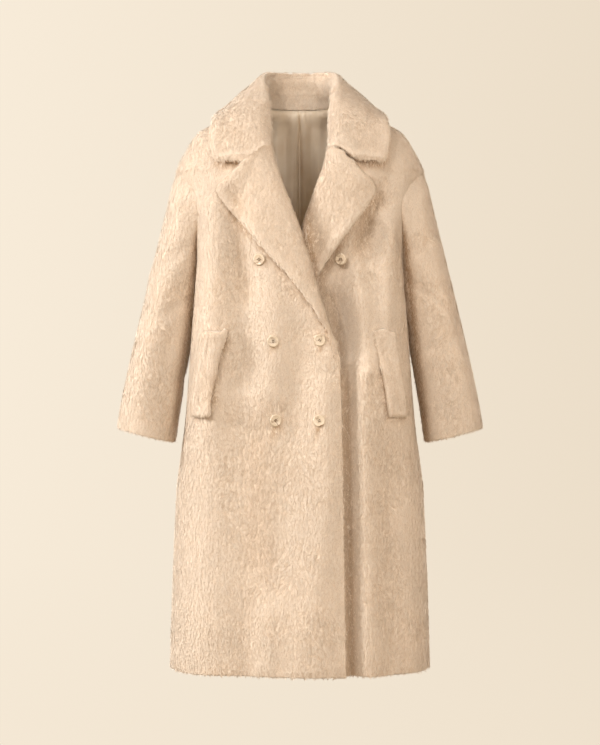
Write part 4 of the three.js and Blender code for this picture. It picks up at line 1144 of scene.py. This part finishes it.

# %% [markdown]

# %% [markdown]
# ## The stage
# A pale seamless studio: a round floor that turns up into a wall on every side. The paper glows by
# itself, though it is no lamp, so its tone is easy to set: the camera sees it paler at the left, a painted
# fall of light from the lamps on that side, and the coat gets a weaker and warmer glow from it, which
# lights the coat like a lamp.

# %% Stage
FLOOR_Z = -1.45
FLAT = 5.6
WALL = 7.6
WALL_TOP = 5.0
PAPER_LIT_LEFT = (0.97, 0.87, 0.73, 1)
PAPER_SHADED_RIGHT = (0.8, 0.69, 0.545, 1)
PAPER_GLOW = (0.4, 0.3, 0.2, 1)


def stage_material():
    material = bpy.data.materials.new("pale_paper")
    material.use_nodes = True
    tree = material.node_tree
    tree.nodes.clear()
    place = add_node(tree, "ShaderNodeTexCoord").outputs["Object"]
    split = add_node(tree, "ShaderNodeSeparateXYZ", {"Vector": place})
    # Painted light: the paper the camera sees is paler at the left and darker at the right, and every other
    # ray gets a dim warm glow that lights the coat.
    side = ranged(tree, split.outputs["X"], -3.0, 3.0)
    seen = mixed(tree, side, PAPER_LIT_LEFT, PAPER_SHADED_RIGHT)
    camera_ray = add_node(tree, "ShaderNodeLightPath").outputs["Is Camera Ray"]
    glow = add_node(tree, "ShaderNodeEmission", {"Color": mixed(tree, camera_ray, PAPER_GLOW, seen)})
    add_node(tree, "ShaderNodeOutputMaterial", {"Surface": glow.outputs["Emission"]})
    return material


def make_stage():
    bm = bmesh.new()
    bend = WALL - FLAT
    profile = [bm.verts.new((0, 0, FLOOR_Z)), bm.verts.new((FLAT, 0, FLOOR_Z))]
    for step in range(1, 13):
        turn = math.radians(90 * step / 12)
        profile.append(bm.verts.new((FLAT + bend * math.sin(turn), 0, FLOOR_Z + bend * (1 - math.cos(turn)))))
    profile.append(bm.verts.new((WALL, 0, WALL_TOP)))
    edges = [bm.edges.new(pair) for pair in zip(profile, profile[1:])]
    bmesh.ops.spin(bm, geom=profile + edges, cent=(0, 0, 0), axis=(0, 0, 1), angle=2 * math.pi, steps=72,
                   use_merge=True)
    bmesh.ops.remove_doubles(bm, verts=bm.verts, dist=1e-4)
    bmesh.ops.recalc_face_normals(bm, faces=bm.faces)
    bmesh.ops.reverse_faces(bm, faces=bm.faces)
    mesh = bpy.data.meshes.new("stage_backdrop")
    bm.to_mesh(mesh)
    bm.free()
    mesh.materials.append(stage_material())
    mesh.shade_smooth()
    backdrop = bpy.data.objects.new("stage_backdrop", mesh)
    bpy.context.collection.objects.link(backdrop)


make_stage()

# %% [markdown]
# ## The light
# A big soft lamp from the left and one from above on that side give the bright side and the soft shade
# beside each fold. Two weaker, warmer ones fill the front and the right. Two more stand behind the coat,
# out of sight, so that its back can be seen as well. The stage shines by itself and needs no lamp.

# %% Lamps
AIM = Vector((0, 0, -0.5))


def soft_lamp(name, place, size, power, colour):
    """A square area lamp turned to the coat."""
    lamp = bpy.data.lights.new(name, "AREA")
    lamp.size = size
    lamp.energy = power
    lamp.color = colour
    holder = bpy.data.objects.new(name, lamp)
    holder.location = place
    holder.rotation_euler = (AIM - Vector(place)).to_track_quat("-Z", "Y").to_euler()
    bpy.context.collection.objects.link(holder)


soft_lamp("left_lamp", (-4.4, -1.2, 0.9), 1.4, 214, (1.0, 0.97, 0.94))
soft_lamp("key_lamp", (-2.4, -3.9, 2.5), 1.4, 124, (1.0, 0.96, 0.92))
soft_lamp("front_lamp", (1.4, -4.4, 0.4), 2.2, 74, (1.0, 0.93, 0.86))
soft_lamp("right_lamp", (3.9, -1.8, 0.3), 2.2, 50, (1.0, 0.9, 0.8))
soft_lamp("back_lamp", (-2.4, 4.2, 1.8), 2.0, 190, (1.0, 0.96, 0.92))
soft_lamp("back_fill", (3.2, 3.4, 0.3), 2.2, 80, (1.0, 0.93, 0.86))
world = bpy.data.worlds.new("studio_air")
world.use_nodes = True
world.node_tree.nodes["Background"].inputs["Color"].default_value = (0.8, 0.7, 0.56, 1)
world.node_tree.nodes["Background"].inputs["Strength"].default_value = 0.24
bpy.context.scene.world = world
bpy.context.scene.view_settings.view_transform = "Standard"

# %% [markdown]
# ## Sizes and finish
# The triangles of every shown piece but the stage are counted, and the total and the largest piece are
# printed.

# %% Finish
added = {o.name: sum(len(p.vertices) - 2 for p in o.data.polygons)
         for o in bpy.data.objects if o.type == "MESH" and not o.hide_render and o.name != "stage_backdrop"}
print("triangles", sum(added.values()), "most", max(added.items(), key=lambda item: item[1]))
